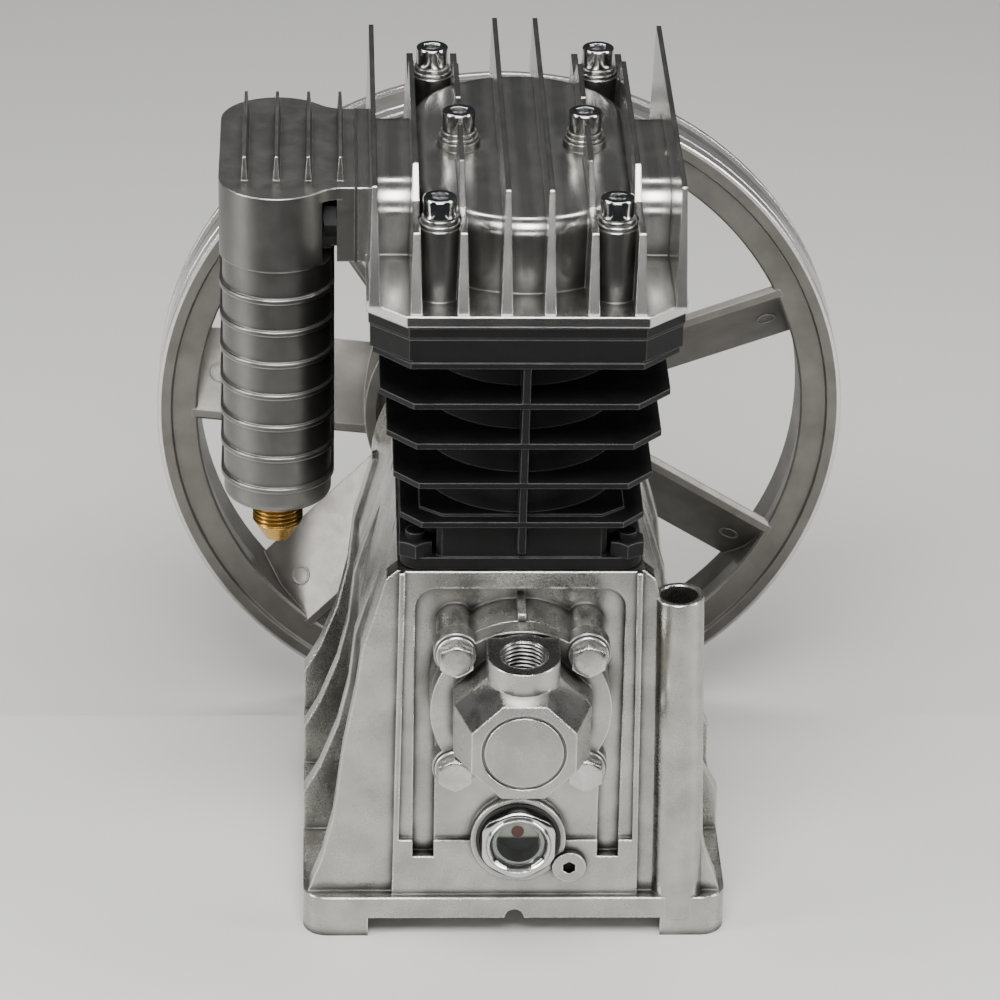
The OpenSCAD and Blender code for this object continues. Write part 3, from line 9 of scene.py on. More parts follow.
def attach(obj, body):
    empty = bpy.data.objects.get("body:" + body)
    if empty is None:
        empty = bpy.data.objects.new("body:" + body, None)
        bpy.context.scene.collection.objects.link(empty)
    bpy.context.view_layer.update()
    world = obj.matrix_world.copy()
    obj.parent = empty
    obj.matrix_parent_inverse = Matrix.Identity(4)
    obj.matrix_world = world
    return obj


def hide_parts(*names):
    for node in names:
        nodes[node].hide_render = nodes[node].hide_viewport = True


# Air compressor pump head. Lengths in the dictionaries are millimetres, Z is up, the shaft runs along Y.
mm = 0.001
shaftHeight = 117.5
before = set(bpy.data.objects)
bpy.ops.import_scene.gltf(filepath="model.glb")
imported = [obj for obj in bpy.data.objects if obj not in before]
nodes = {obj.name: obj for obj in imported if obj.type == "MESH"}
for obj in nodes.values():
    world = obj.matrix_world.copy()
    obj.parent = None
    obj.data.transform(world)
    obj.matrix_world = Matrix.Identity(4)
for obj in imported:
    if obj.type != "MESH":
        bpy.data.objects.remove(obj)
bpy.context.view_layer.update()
print("frame loaded,", len(nodes), "nodes")


# Small helpers for materials

def toLinear(code):
    channels = [int(code[i:i + 2], 16) / 255 for i in (1, 3, 5)]
    return [c / 12.92 if c <= 0.04045 else ((c + 0.055) / 1.055) ** 2.4 for c in channels] + [1.0]


def feed(tree, socket, value):
    # another node's output is linked, a number or a colour is set
    if isinstance(value, bpy.types.NodeSocket):
        tree.links.new(value, socket)
    else:
        socket.default_value = value


def addNode(tree, kind, inputs=None, **settings):
    node = tree.nodes.new(kind)
    for name, value in settings.items():
        setattr(node, name, value)
    for name, value in (inputs or {}).items():
        feed(tree, node.inputs[name], value)
    return node


def startMaterial(name, uniform):
    material = bpy.data.materials.new(name)
    material.use_nodes = True
    tree = material.node_tree
    tree.nodes.clear()
    shader = addNode(tree, "ShaderNodeBsdfPrincipled", uniform)
    output = addNode(tree, "ShaderNodeOutputMaterial")
    tree.links.new(shader.outputs["BSDF"], output.inputs["Surface"])
    return material, tree, shader


def noiseAt(tree, coords, sizeMm, detail=2.0, distortion=0.0):
    # a lump of the pattern is about as wide as sizeMm
    node = addNode(tree, "ShaderNodeTexNoise", {
        "Vector": coords, "Scale": 1 / (sizeMm * mm), "Detail": detail, "Distortion": distortion})
    return node.outputs["Fac"]


def spread(tree, value, low, high, first, last):
    node = addNode(tree, "ShaderNodeMapRange", {
        "Value": value, "From Min": low, "From Max": high, "To Min": first, "To Max": last})
    return node.outputs["Result"]


def mixColors(tree, factor, first, second):
    node = addNode(tree, "ShaderNodeMix", data_type="RGBA")
    for socket, value in ((node.inputs[0], factor), (node.inputs[6], first), (node.inputs[7], second)):
        feed(tree, socket, value)
    return node.outputs[2]


def combine(tree, operation, first, second):
    node = addNode(tree, "ShaderNodeMath", operation=operation)
    for socket, value in zip(node.inputs, (first, second)):
        feed(tree, socket, value)
    return node.outputs["Value"]


def raised(tree, height, distanceMm, normal):
    node = addNode(tree, "ShaderNodeBump", {
        "Height": height, "Distance": distanceMm * mm, "Strength": 1.0, "Normal": normal})
    return node.outputs["Normal"]


# Limits of the noises and masks that all finishes share: from low to high, or from low to high onto first to last
maskLimits = dict(blotch=(0.35, 0.68, 0.0, 1.0), bend=(0.995, 0.86), wearAndHighlight=(0.25, 0.6, 0.45, 1.0), hollow=(0.86, 0.5),
                  shadeAndDirt=(0.3, 0.6, 0.8, 1.0), rough=(0.35, 0.65), flowShare=0.6, grainShare=0.4, shadeAndDirtRough=0.25,
                  machinedBlend=0.2)
# How fine the three noises are, and how many rays the soft edges and the painted shade in recesses take
noiseDetail = dict(flow=3.0, flowDistortion=0.6, blotch=4.0, grain=2.0)
raySamples = dict(edge=4, grime=10)
# The ring wave of the shader goes through 20 radians in a unit of its scale
waveRadians = 20

# Every finish starts from these, and names only what differs
plainFinish = dict(
    color="#B4B5B6", dark="#8C8D8F", blotch=14.0, metallic=1.0, rough=(0.3, 0.42),
    flow=9.0, flowHeight=0.05, stretch=(1, 1, 1), grain=0.6, grainHeight=0.02,
    edge=0.8, edgeColor="#E6E6E6", edgeShare=0.7, grime=5.0, grimeColor="#3A3836", grimeShare=0.5,
    rings=None, machined=None, uniform={})


def makeFinish(name, **changes):
    look = {**plainFinish, **changes}
    material, tree, shader = startMaterial(name, {"Metallic": look["metallic"], **look["uniform"]})
    coords = addNode(tree, "ShaderNodeTexCoord").outputs["Object"]
    stretched = addNode(tree, "ShaderNodeMapping", {"Vector": coords, "Scale": look["stretch"]}).outputs["Vector"]
    flow = noiseAt(tree, stretched, look["flow"], noiseDetail["flow"], noiseDetail["flowDistortion"])
    blotch = noiseAt(tree, coords, look["blotch"], noiseDetail["blotch"])
    grain = noiseAt(tree, coords, look["grain"], noiseDetail["grain"])
    # soft edges, and a mask of where they bend
    rounded = addNode(tree, "ShaderNodeBevel", {"Radius": look["edge"] * mm},
                      samples=raySamples["edge"]).outputs["Normal"]
    straight = addNode(tree, "ShaderNodeNewGeometry").outputs["Normal"]
    bend = addNode(tree, "ShaderNodeVectorMath", {0: rounded, 1: straight}, operation="DOT_PRODUCT").outputs["Value"]
    # lighter colour where the surface bends at edges: partly wear, partly a painted highlight
    wornAndHighlit = combine(tree, "MULTIPLY", spread(tree, bend, *maskLimits["bend"], 0.0, look["edgeShare"]),
                   spread(tree, flow, *maskLimits["wearAndHighlight"]))
    # darker colour in recesses and creases from the occlusion node: mostly painted shade, partly grime varied by the
    # blotch noise
    hollow = addNode(tree, "ShaderNodeAmbientOcclusion", {"Distance": look["grime"] * mm},
                     samples=raySamples["grime"]).outputs["AO"]
    shadeAndDirt = combine(tree, "MULTIPLY", spread(tree, hollow, *maskLimits["hollow"], 0.0, look["grimeShare"]),
                   spread(tree, blotch, *maskLimits["shadeAndDirt"]))
    color = mixColors(tree, spread(tree, blotch, *maskLimits["blotch"]),
                      toLinear(look["color"]), toLinear(look["dark"]))
    color = mixColors(tree, wornAndHighlit, color, toLinear(look["edgeColor"]))
    color = mixColors(tree, shadeAndDirt, color, toLinear(look["grimeColor"]))
    if look["machined"]:
        # turned faces further from the shaft than a radius: radius = length(x, z - shaft)
        height, fromRadius, machinedColor, machinedRough = look["machined"]
        parts = addNode(tree, "ShaderNodeSeparateXYZ", {"Vector": coords}).outputs
        across = combine(tree, "MULTIPLY", parts["X"], parts["X"])
        lift = combine(tree, "SUBTRACT", parts["Z"], height * mm)
        radius = combine(tree, "SQRT", combine(tree, "ADD", across, combine(tree, "MULTIPLY", lift, lift)), 0.0)
        blend = maskLimits["machinedBlend"]
        turned = spread(tree, radius, (fromRadius - blend) * mm, (fromRadius + blend) * mm, 0.0, 1.0)
        color = mixColors(tree, turned, color, toLinear(machinedColor))
    low, high = look["rough"]
    rough = spread(tree, combine(tree, "ADD", combine(tree, "MULTIPLY", flow, maskLimits["flowShare"]),
                                 combine(tree, "MULTIPLY", grain, maskLimits["grainShare"])),
                   *maskLimits["rough"], low, high)
    rough = combine(tree, "ADD", rough, combine(tree, "MULTIPLY", shadeAndDirt, maskLimits["shadeAndDirtRough"]))
    if look["machined"]:
        keep = combine(tree, "SUBTRACT", 1.0, turned)
        rough = combine(tree, "ADD", combine(tree, "MULTIPLY", rough, keep),
                        combine(tree, "MULTIPLY", turned, machinedRough))
    normal = raised(tree, flow, look["flowHeight"], rounded)
    normal = raised(tree, grain, look["grainHeight"], normal)
    if look["rings"]:
        centre, pitch, depth = look["rings"]
        moved = addNode(tree, "ShaderNodeMapping", {
            "Vector": coords, "Location": [-c * mm for c in centre]}).outputs["Vector"]
        wave = addNode(tree, "ShaderNodeTexWave", {
            "Vector": moved, "Scale": 2 * math.pi / (waveRadians * pitch * mm), "Distortion": 0.0},
            wave_type="RINGS", rings_direction="Y").outputs["Fac"]
        normal = raised(tree, wave, depth, normal)
    for socket, value in (("Base Color", color), ("Roughness", rough), ("Normal", normal)):
        tree.links.new(value, shader.inputs[socket])
    return material


# The finishes, each after the metal and the way it was made

# Die cast aluminium, as it leaves a polished die: bright, with soft flow marks and edges lightened partly by wear and
# partly by a painted highlight
dieCastAluminium = makeFinish(
    "dieCastAluminium", color="#C9C8C4", dark="#BFBDB9", rough=(0.2, 0.24), flow=16.0, flowHeight=0.008,
    grain=0.8, grainHeight=0.010, edge=1.0, edgeColor="#F8F7F3", edgeShare=1.0, grime=8.0, grimeColor="#24221F",
    grimeShare=0.75)
# The same alloy in a coarser die, shot blasted: paler and more matt, with running marks down the sides
crankcaseAluminium = makeFinish(
    "crankcaseAluminium", color="#B3B2AD", dark="#9F9D98", rough=(0.2, 0.33), flow=15.0, flowHeight=0.06,
    stretch=(1, 1, 0.45), grain=0.7, grainHeight=0.018, edge=1.2, edgeColor="#F8F7F3", edgeShare=1.0, grime=5.5,
    grimeColor="#161513", grimeShare=0.97)
# Cast aluminium with a turned face: fine rings round the shaft axis
turnedAluminium = makeFinish(
    "turnedAluminium", color="#BAB8B4", dark="#A9A7A3", rough=(0.24, 0.33), flow=12.0, flowHeight=0.025,
    grain=0.5, grainHeight=0.012, edge=1.0, edgeColor="#F4F3EF", edgeShare=1.0, grime=5.5, grimeColor="#161513",
    grimeShare=0.95, rings=((0, 0, shaftHeight), 0.55, 0.012))
# Sand cast aluminium of the cooler: greyer, with a fine open grain
coolerAluminium = makeFinish(
    "coolerAluminium", color="#7C7B78", dark="#706F6C", rough=(0.32, 0.38), flow=9.0, flowHeight=0.012,
    grain=0.7, grainHeight=0.03, edge=0.9, edgeColor="#E2E1DD", edgeShare=1.0, grime=7.0, grimeColor="#1A1918",
    grimeShare=0.7)
# Cast iron under satin black heat paint, grey on the fin edges, partly rubbed through and partly a painted highlight
blackIron = makeFinish(
    "blackPaintedIron", color="#060607", dark="#040404", metallic=0.0, rough=(0.5, 0.64), flow=8.0,
    flowHeight=0.10, grain=0.8, grainHeight=0.05, edge=0.7, edgeColor="#7A7A7A", edgeShare=0.55,
    grime=6.0, grimeColor="#020202", uniform={"IOR": 1.34})
# Cast flywheel, grey and lightly oiled, with a satin skin
wheelMetal = makeFinish(
    "castWheelMetal", color="#7B7873", dark="#6C6964", metallic=0.85, rough=(0.38, 0.5), flow=18.0, flowHeight=0.03,
    grain=0.8, grainHeight=0.03, edge=0.9, edgeColor="#D8D6D2", edgeShare=0.6, grime=8.0, grimeShare=0.4,
    machined=(shaftHeight, 150.2, "#D6D4D0", 0.24))
# Chrome plated steel of the head screws
chromeSteel = makeFinish(
    "chromePlatedSteel", color="#D6D6D6", dark="#C6C6C6", rough=(0.07, 0.16), flow=6.0, flowHeight=0.01,
    grain=0.4, grainHeight=0.002, edge=0.3, edgeColor="#F5F5F5", grime=3.0, grimeShare=0.5)
# Bright zinc plated steel of bolts and washers
zincSteel = makeFinish(
    "zincPlatedSteel", color="#CFCFCC", dark="#B2B2AE", rough=(0.2, 0.34), flow=5.0, flowHeight=0.015,
    grain=0.4, grainHeight=0.006, edge=0.35, edgeColor="#F2F2EE", grime=3.0, grimeShare=0.5)
# Ground steel of the shaft, pins and bearing rings
groundSteel = makeFinish(
    "groundSteel", color="#BDBDBD", dark="#A5A5A5", rough=(0.16, 0.26), flow=12.0, flowHeight=0.01,
    grain=0.4, grainHeight=0.003, edge=0.4, grime=4.0, grimeShare=0.4)
# Forged or sand cast parts inside: darker skin
forgedSteel = makeFinish(
    "forgedSteel", color="#77767A", dark="#5C5B5E", rough=(0.4, 0.55), flow=9.0, flowHeight=0.08,
    grain=0.7, grainHeight=0.04, edge=0.8, edgeColor="#B5B5B5", grime=6.0)
# Spring steel of the reeds, blued by heat treatment
springSteel = makeFinish(
    "springSteel", color="#7C8794", dark="#66707C", rough=(0.18, 0.28), flow=10.0, flowHeight=0.01,
    grain=0.4, grainHeight=0.003, edge=0.2)
# Turned brass of the outlet nipple, a little tarnished in the threads
turnedBrass = makeFinish(
    "turnedBrass", color="#C39A50", dark="#A37A38", rough=(0.22, 0.36), flow=6.0, flowHeight=0.02,
    grain=0.5, grainHeight=0.008, edge=0.3, edgeColor="#EBCB86", grime=2.5, grimeColor="#4A3315", grimeShare=0.7)
# Pressed fibre of the gaskets: black, dull, finely fibrous
fibreGasket = makeFinish(
    "fibreGasket", color="#262524", dark="#191817", metallic=0.0, rough=(0.7, 0.85), flow=3.0, flowHeight=0.05,
    grain=0.3, grainHeight=0.03, edge=0.15, edgeColor="#3A3938", uniform={"IOR": 1.48})
# Moulded nitrile rubber of the shaft seal
nitrileRubber = makeFinish(
    "nitrileRubber", color="#1C1C1D", dark="#141415", metallic=0.0, rough=(0.5, 0.65), flow=6.0, flowHeight=0.03,
    grain=0.5, grainHeight=0.01, edge=0.4, edgeColor="#2C2C2D", uniform={"IOR": 1.52})
# Red enamel mark behind the oil glass
redEnamel = makeFinish(
    "redEnamel", color="#8C3226", dark="#74281E", metallic=0.0, rough=(0.3, 0.4), flow=2.0, flowHeight=0.01,
    grain=0.3, grainHeight=0.003, edge=0.1, edgeColor="#A04438", uniform={"IOR": 1.5})
# Machined permanent mould aluminium of the pistons
pistonAluminium = makeFinish(
    "pistonAluminium", color="#BDBDBB", dark="#A8A8A6", rough=(0.26, 0.36), flow=9.0, flowHeight=0.03,
    grain=0.5, grainHeight=0.01, edge=0.4)


# Pressed soda glass of the oil level window: a clear pane that mirrors more at a flat angle
glassLook = dict(waves=5.0, detail=1.0, waveHeight=0.02, clear="#F6F8F7", cloudy="#ECF0EE", rough=0.05, bending=1.3)


def makeGlass(v):
    material = bpy.data.materials.new("pressedGlass")
    material.use_nodes = True
    tree = material.node_tree
    tree.nodes.clear()
    coords = addNode(tree, "ShaderNodeTexCoord").outputs["Object"]
    waves = noiseAt(tree, coords, v["waves"], v["detail"])
    straight = addNode(tree, "ShaderNodeNewGeometry").outputs["Normal"]
    bent = raised(tree, waves, v["waveHeight"], straight)
    clear = addNode(tree, "ShaderNodeBsdfTransparent", {
        "Color": mixColors(tree, waves, toLinear(v["clear"]), toLinear(v["cloudy"]))}).outputs["BSDF"]
    gloss = addNode(tree, "ShaderNodeBsdfGlossy", {"Roughness": v["rough"], "Normal": bent}).outputs["BSDF"]
    mirror = addNode(tree, "ShaderNodeFresnel", {"IOR": v["bending"], "Normal": bent}).outputs["Fac"]
    both = addNode(tree, "ShaderNodeMixShader", {0: mirror, 1: clear, 2: gloss}).outputs["Shader"]
    tree.links.new(both, addNode(tree, "ShaderNodeOutputMaterial").inputs["Surface"])
    return material


pressedGlass = makeGlass(glassLook)

finishOf = {
    "crankcase": crankcaseAluminium, "front_cover": turnedAluminium, "cover_gasket": fibreGasket,
    "cover_bolts": zincSteel, "cover_washers": zincSteel, "sight_glass_body": chromeSteel,
    "sight_glass_lens": pressedGlass, "sight_glass_dot": redEnamel, "drain_plug": crankcaseAluminium,
    "drain_washer": forgedSteel, "cylinder_block": blackIron, "block_gasket": fibreGasket,
    "block_studs": blackIron, "block_nuts": zincSteel, "valve_plate_gasket": fibreGasket,
    "valve_plate": blackIron, "head_gasket": fibreGasket, "suction_reeds": springSteel,
    "discharge_reeds": springSteel, "reed_stops": forgedSteel, "reed_rivets": zincSteel,
    "cylinder_head": dieCastAluminium, "head_screws": chromeSteel, "head_spring_washers": zincSteel,
    "head_washers": zincSteel, "cooler_gasket": fibreGasket, "discharge_cooler": coolerAluminium,
    "cooler_bolts": zincSteel, "outlet_fitting": turnedBrass, "rear_carrier": crankcaseAluminium,
    "carrier_gasket": fibreGasket, "carrier_bolts": zincSteel, "front_bearing_ring": groundSteel,
    "rear_bearing_ring": groundSteel, "rear_oil_seal": nitrileRubber, "crankshaft": forgedSteel,
    "bearing_inner_rings": groundSteel, "bearing_balls": groundSteel, "flywheel": wheelMetal,
    "flywheel_key": groundSteel, "flywheel_bolt": zincSteel, "flywheel_washer": zincSteel,
}
for side in ("front", "rear"):
    finishOf.update({
        side + "_piston": pistonAluminium, side + "_rings": forgedSteel, side + "_wrist_pin": groundSteel,
        side + "_rod": pistonAluminium, side + "_rod_cap": pistonAluminium, side + "_rod_screws": zincSteel,
        side + "_crankpin": groundSteel})
for name, finish in finishOf.items():
    nodes[name].data.materials.clear()
    nodes[name].data.materials.append(finish)
print("finishes on", len(finishOf), "nodes")


# Pieces worked out here. A grid is an array of rings, rings of points, in millimetres.

fineness = 72
angles = np.linspace(0, 2 * math.pi, fineness, endpoint=False)
# Points closer than this, in metres, are one point
weldDistance = 1e-6
# What a piece's own axis points to: columns are its x, y and z
facings = {
    "up": np.eye(3), "front": np.array([[1, 0, 0], [0, 0, -1], [0, 1, 0]]),
    "back": np.array([[1, 0, 0], [0, 0, 1], [0, -1, 0]]), "left": np.array([[0, 0, -1], [0, 1, 0], [1, 0, 0]]),
    "right": np.array([[0, 0, 1], [0, 1, 0], [-1, 0, 0]])}


def hexRadius(flats):
    # radius = flats / 2 / cos((angle + 30) mod 60 - 30), all in degrees
    return flats / 2 / np.cos((angles + math.pi / 6) % (math.pi / 3) - math.pi / 6)


def ring(radius, height):
    radius = np.broadcast_to(radius, angles.shape)
    height = np.broadcast_to(height, angles.shape)
    return np.stack([radius * np.cos(angles), radius * np.sin(angles), height], axis=-1)


def turnedGrid(profile):
    return np.stack([ring(radius, height) for radius, height in profile])


def placed(grid, place, facing="up"):
    return grid @ facings[facing].T + np.array(place)


def gridFaces(shape, start, loop):
    n, m = shape[:2]
    i = np.arange(m)
    j = (i + 1) % m
    rows = np.arange(n if loop else n - 1)[:, None]
    here, there = rows * m, (rows + 1) % n * m
    quads = np.stack([here + i, here + j, there + j, there + i], axis=-1).reshape(-1, 4) + start
    if loop:
        return quads.tolist()
    low = np.stack([j, i, np.full(m, n * m)], axis=-1) + start
    top = np.stack([i + (n - 1) * m, j + (n - 1) * m, np.full(m, n * m + 1)], axis=-1) + start
    return quads.tolist() + low.tolist() + top.tolist()


def makePiece(name, grids, finish, body, replaced=(), loops=(), crease=35):
    # grids have their ends closed by a fan; those in loops join their last ring to the first
    points, faces, start = [], [], 0
    for grid, loop in [(g, False) for g in grids] + [(g, True) for g in loops]:
        flat = [grid.reshape(-1, 3)] + ([] if loop else [grid[0].mean(0)[None], grid[-1].mean(0)[None]])
        faces += gridFaces(grid.shape, start, loop)
        points += flat
        start += sum(len(part) for part in flat)
    mesh = bpy.data.meshes.new(name)
    mesh.from_pydata((np.concatenate(points) * mm).tolist(), [], faces)
    shape = bmesh.new()
    shape.from_mesh(mesh)
    bmesh.ops.remove_doubles(shape, verts=shape.verts, dist=weldDistance)
    bmesh.ops.recalc_face_normals(shape, faces=shape.faces)
    shape.to_mesh(mesh)
    shape.free()
    mesh.shade_smooth()
    mesh.set_sharp_from_angle(angle=math.radians(crease))
    mesh.materials.append(finish)
    piece = bpy.data.objects.new(name, mesh)
    bpy.context.scene.collection.objects.link(piece)
    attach(piece, body)
    if replaced:
        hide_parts(*replaced)
    return piece


# Socket screw: 13 mm head with a rounded rim, six sided socket 6 mm across; pairs are width and depth
capScrew = dict(head=6.5, height=8.0, rim=0.7, foot=0.3, socket=6.0, socketDepth=4.0, socketLip=(0.45, 0.4),
                drillTip=(1.0, 0.8), shank=3.95, length=48.0, sunk=0.5, rimSteps=5)
hexBolt = dict(flats=13.0, height=5.5, round=0.94, foot=0.2, slope=0.58, crown=(0.9, 0.05), shank=3.95, length=20.0,
               sunk=0.5)
nutShape = dict(hexBolt, height=6.5)
springWasher = dict(inner=4.3, outer=7.2, height=2.0, seat=0.08, opening=14, lift=0.075, tailShare=0.8, steps=61,
                    corner=0.25)
plainWasher = dict(inner=4.5, outer=8.0, thickness=1.6, corner=0.3, ease=0.2)


def shankGrid(v):
    return turnedGrid([(v["shank"], v["sunk"] - v["length"]), (v["shank"], v["sunk"])])


def capScrewGrids(v):
    r, h, rim, foot = v["head"], v["height"], v["rim"], v["foot"]
    bend = np.linspace(0, math.pi / 2, v["rimSteps"])
    profile = [(r - foot, 0.0), (r, foot)]
    profile += [(r - rim + rim * math.cos(t), h - rim + rim * math.sin(t)) for t in bend]
    socket, floor = hexRadius(v["socket"]), h - v["socketDepth"]
    lipWidth, lipDepth = v["socketLip"]
    tip, tipDepth = v["drillTip"]
    profile += [(socket + lipWidth, h), (socket, h - lipDepth), (socket, floor), (tip, floor - tipDepth)]
    return [turnedGrid(profile), shankGrid(v)]


def hexBoltGrids(v, shank=True):
    # the chamfer is a cone: height = top - (radius - flat top) * slope
    outer, flat, h, foot = hexRadius(v["flats"]), v["flats"] / 2 * v["round"], v["height"], v["foot"]
    inset, rise = v["crown"]
    head = turnedGrid([(outer - foot, 0.0), (outer, foot), (outer, h - (outer - flat) * v["slope"]), (flat, h),
                       (flat - inset, h + rise)])
    return [head, shankGrid(v)] if shank else [head]


def springWasherGrid(v):
    # a square bar along an open ring; its two ends stand apart in height
    c, h, inner, outer = v["corner"], v["height"], v["inner"], v["outer"]
    section = np.array([(inner + c, 0), (outer - c, 0), (outer, c), (outer, h - c), (outer - c, h), (inner + c, h),
                        (inner, h - c), (inner, c)])
    turn = np.radians(np.linspace(v["opening"] / 2, 360 - v["opening"] / 2, v["steps"]))[:, None]
    along = np.linspace(-1, 1, v["steps"])[:, None]
    rise = along * v["lift"] * (np.abs(along) > v["tailShare"])
    radius, height = section[:, 0][None], section[:, 1][None] * (1 - v["seat"]) + v["seat"] + rise
    return np.stack([radius * np.cos(turn), radius * np.sin(turn), height + 0 * turn], axis=-1)


def washerGrid(inner, outer, thickness, corner, ease):
    return turnedGrid([
        (inner, 0.0), (outer - corner, 0.0), (outer, corner), (outer, thickness - corner),
        (outer - corner, thickness), (inner + ease, thickness), (inner, thickness - ease)])


# Flanks of a thread: steps along one turn, slope of the tooth and the share cut off its crest
threadShape = dict(steps=12, slope=1.25, cut=0.125)


def threadRadius(heights, pitch, crest, root):
    # radius = root + (crest - root) * tooth(height / pitch - angle / 360), tooth a flattened triangle
    phase = (heights[:, None] / pitch - angles[None] / (2 * math.pi)) % 1.0
    tooth = np.clip(threadShape["slope"] * (1 - np.abs(2 * phase - 1)) - threadShape["cut"], 0, 1)
    return root + (crest - root) * tooth


def threadGrid(start, end, pitch, crest, root):
    heights = np.arange(start, end, pitch / threadShape["steps"])
    radius = threadRadius(heights, pitch, crest, root)
    return np.stack([ring(r, z) for r, z in zip(radius, heights)])


# Where the fasteners sit: half distances across and along, and seats on the face that carries them
seats = dict(
    headAcross=34.0, headAlong=75.5, headSeat=315.6, middleAcross=25.0, middleSeat=319.2, coverHalf=26.0,
    coverSeat=-105.0, carrierRadius=46.8, carrierSeat=92.0, carrierAngles=(-35, -125, -215, -305), nutAcross=42.0,
    nutAlong=73.0, nutSeat=172.5, coolerSeat=-73.2, coolerHalf=33.0, coolerHeight=299.0)
sides = (-1, 1)
screwPlaces = [(a * seats["headAcross"], b * seats["headAlong"], seats["headSeat"]) for a in sides for b in sides]
screwPlaces += [(a * seats["middleAcross"], 0.0, seats["middleSeat"]) for a in sides]
coverPlaces = [(a * seats["coverHalf"], seats["coverSeat"], shaftHeight + b * seats["coverHalf"])
               for a in sides for b in sides]
carrierPlaces = [(seats["carrierRadius"] * math.cos(math.radians(a)), seats["carrierSeat"],
                  shaftHeight + seats["carrierRadius"] * math.sin(math.radians(a))) for a in seats["carrierAngles"]]
nutPlaces = [(a * seats["nutAcross"], b * seats["nutAlong"], seats["nutSeat"]) for a in sides for b in (-1, 0, 1)]
coolerPlaces = [(seats["coolerSeat"], b * seats["coolerHalf"], seats["coolerHeight"]) for b in sides]


def above(place, lift):
    return place[0], place[1], place[2] + lift


washerTop = plainWasher["thickness"]
springTop = washerTop + springWasher["height"]
makePiece("capScrews", [placed(g, above(p, springTop)) for p in screwPlaces for g in capScrewGrids(capScrew)],
          chromeSteel, "housing", ["head_screws"])
makePiece("springWashers", [placed(springWasherGrid(springWasher), above(p, washerTop)) for p in screwPlaces],
          zincSteel, "housing", ["head_spring_washers"])
makePiece("flatWashers", [], zincSteel, "housing", ["head_washers"],
          loops=[placed(washerGrid(**plainWasher), p) for p in screwPlaces])
makePiece("coverWashers", [], zincSteel, "housing", ["cover_washers"],
          loops=[placed(washerGrid(**plainWasher), p, "front") for p in coverPlaces])
makePiece("coverScrews", [placed(g, (x, y - washerTop, z), "front") for x, y, z in coverPlaces
                          for g in hexBoltGrids(hexBolt)], zincSteel, "housing", ["cover_bolts"])
makePiece("carrierScrews", [placed(g, p, "back") for p in carrierPlaces for g in hexBoltGrids(hexBolt)],
          zincSteel, "housing", ["carrier_bolts"])
makePiece("coolerScrews", [placed(g, p, "left") for p in coolerPlaces for g in hexBoltGrids(hexBolt)],
          blackIron, "housing", ["cooler_bolts"])
makePiece("footNuts", [placed(g, p) for p in nutPlaces for g in hexBoltGrids(nutShape, False)],
          blackIron, "housing", ["block_nuts"])
print("fasteners ready")

# Threads of two ports, each a sleeve in the bore: G 1/2 in the front cover, leaning forward by its tilt,
# and G 3/4 for the intake on the right of the head
portThread = dict(pitch=1.814, crest=8.3, root=9.25, outer=9.28, low=16.0, high=33.9, foot=(0.0, -117.0, shaftHeight))
portTilt = 5.0
intakeThread = dict(pitch=1.814, crest=11.1, root=11.92, outer=11.96, low=0.0, high=21.6, foot=(40.0, 0.0, 298.5))


def threadSleeve(v, turn):
    inner = threadGrid(v["low"], v["high"], v["pitch"], v["crest"], v["root"])
    outer = turnedGrid([(v["outer"], v["high"]), (v["outer"], v["low"])])
    return np.concatenate([inner, outer]) @ turn.T + np.array(v["foot"])


def makePortThreads():
    lean = math.radians(portTilt)
    leaning = np.array([[1, 0, 0], [0, math.cos(lean), -math.sin(lean)], [0, math.sin(lean), math.cos(lean)]])
    makePiece("portThread", [], turnedAluminium, "housing",
              loops=[threadSleeve(portThread, leaning)], crease=50)
    makePiece("intakeThread", [], dieCastAluminium, "housing",
              loops=[threadSleeve(intakeThread, facings["right"])], crease=50)


# Outlet nipple: G 1/2 outside thread, a taper below it and the bore
nipple = dict(place=(-96.8, -28.0, 176.6), pitch=1.814, crest=10.2, root=9.15, thread=12.6, threadTop=0.6, length=20.8,
              shoulder=9.6, relief=0.9, runOut=0.3, tip=5.5, tipEase=(0.2, 0.3), bore=4.5, boreLip=0.4, boreDepth=12.0,
              stemStart=-0.5, stemEnd=11.0)


def makeNipple(v):
    end, bore, tip, lip = -v["length"], v["bore"], v["tip"], v["boreLip"]
    easeWidth, easeHeight = v["tipEase"]
    below = turnedGrid([
        (bore, end + v["boreDepth"]), (bore, end + lip), (bore + lip, end), (tip - easeWidth, end),
        (tip, end + easeHeight), (v["shoulder"], -v["thread"] - v["relief"]), (v["root"], -v["thread"] - v["runOut"])])
    thread = threadGrid(-v["thread"], -v["threadTop"], v["pitch"], v["crest"], v["root"])
    stem = turnedGrid([(v["root"], v["stemStart"]), (v["root"], v["stemEnd"])])
    makePiece("outletNipple", [placed(np.concatenate([below, thread, stem]), v["place"])], turnedBrass,
              "housing", ["outlet_fitting"], crease=50)


# Sight glass: a chrome nut with a rounded collar, and the white cup behind the glass, half full of oil
sightGlass = dict(
    place=(1.0, -84.5, 45.2), flats=29.6, corner=15.9, foot=0.3, height=4.5, slope=0.58, face=14.3, stem=12.45,
    stemDepth=13.0, collar=((13.4, 0.1), (13.1, 1.1), (12.7, 1.5), (12.1, 1.5), (11.7, 1.1)),
    cup=((10.9, 4.2), (10.6, 2.55), (8.95, 2.5), (8.95, -6.95)), cupReach=10.2, cupStart=-2.4, cupEnd=12.0,
    oilLevel=(41.9, 43.2))
# A black rubber seal ring round the nut, which also stands in for the shadow in the groove round it: partly painted
# shade
sealAndShadeRing = dict(inner=15.95, outer=17.2, thickness=0.9, corner=0.3, ease=0.2)
# Cream enamel of the cup, and the dark amber of the oil below its level
cupLook = dict(cream=("#F2F0E8", "#E0DDD2"), oil=("#0C0805", "#171009"), cloud=4.0, detail=2.0, rough=0.3, bending=1.5)


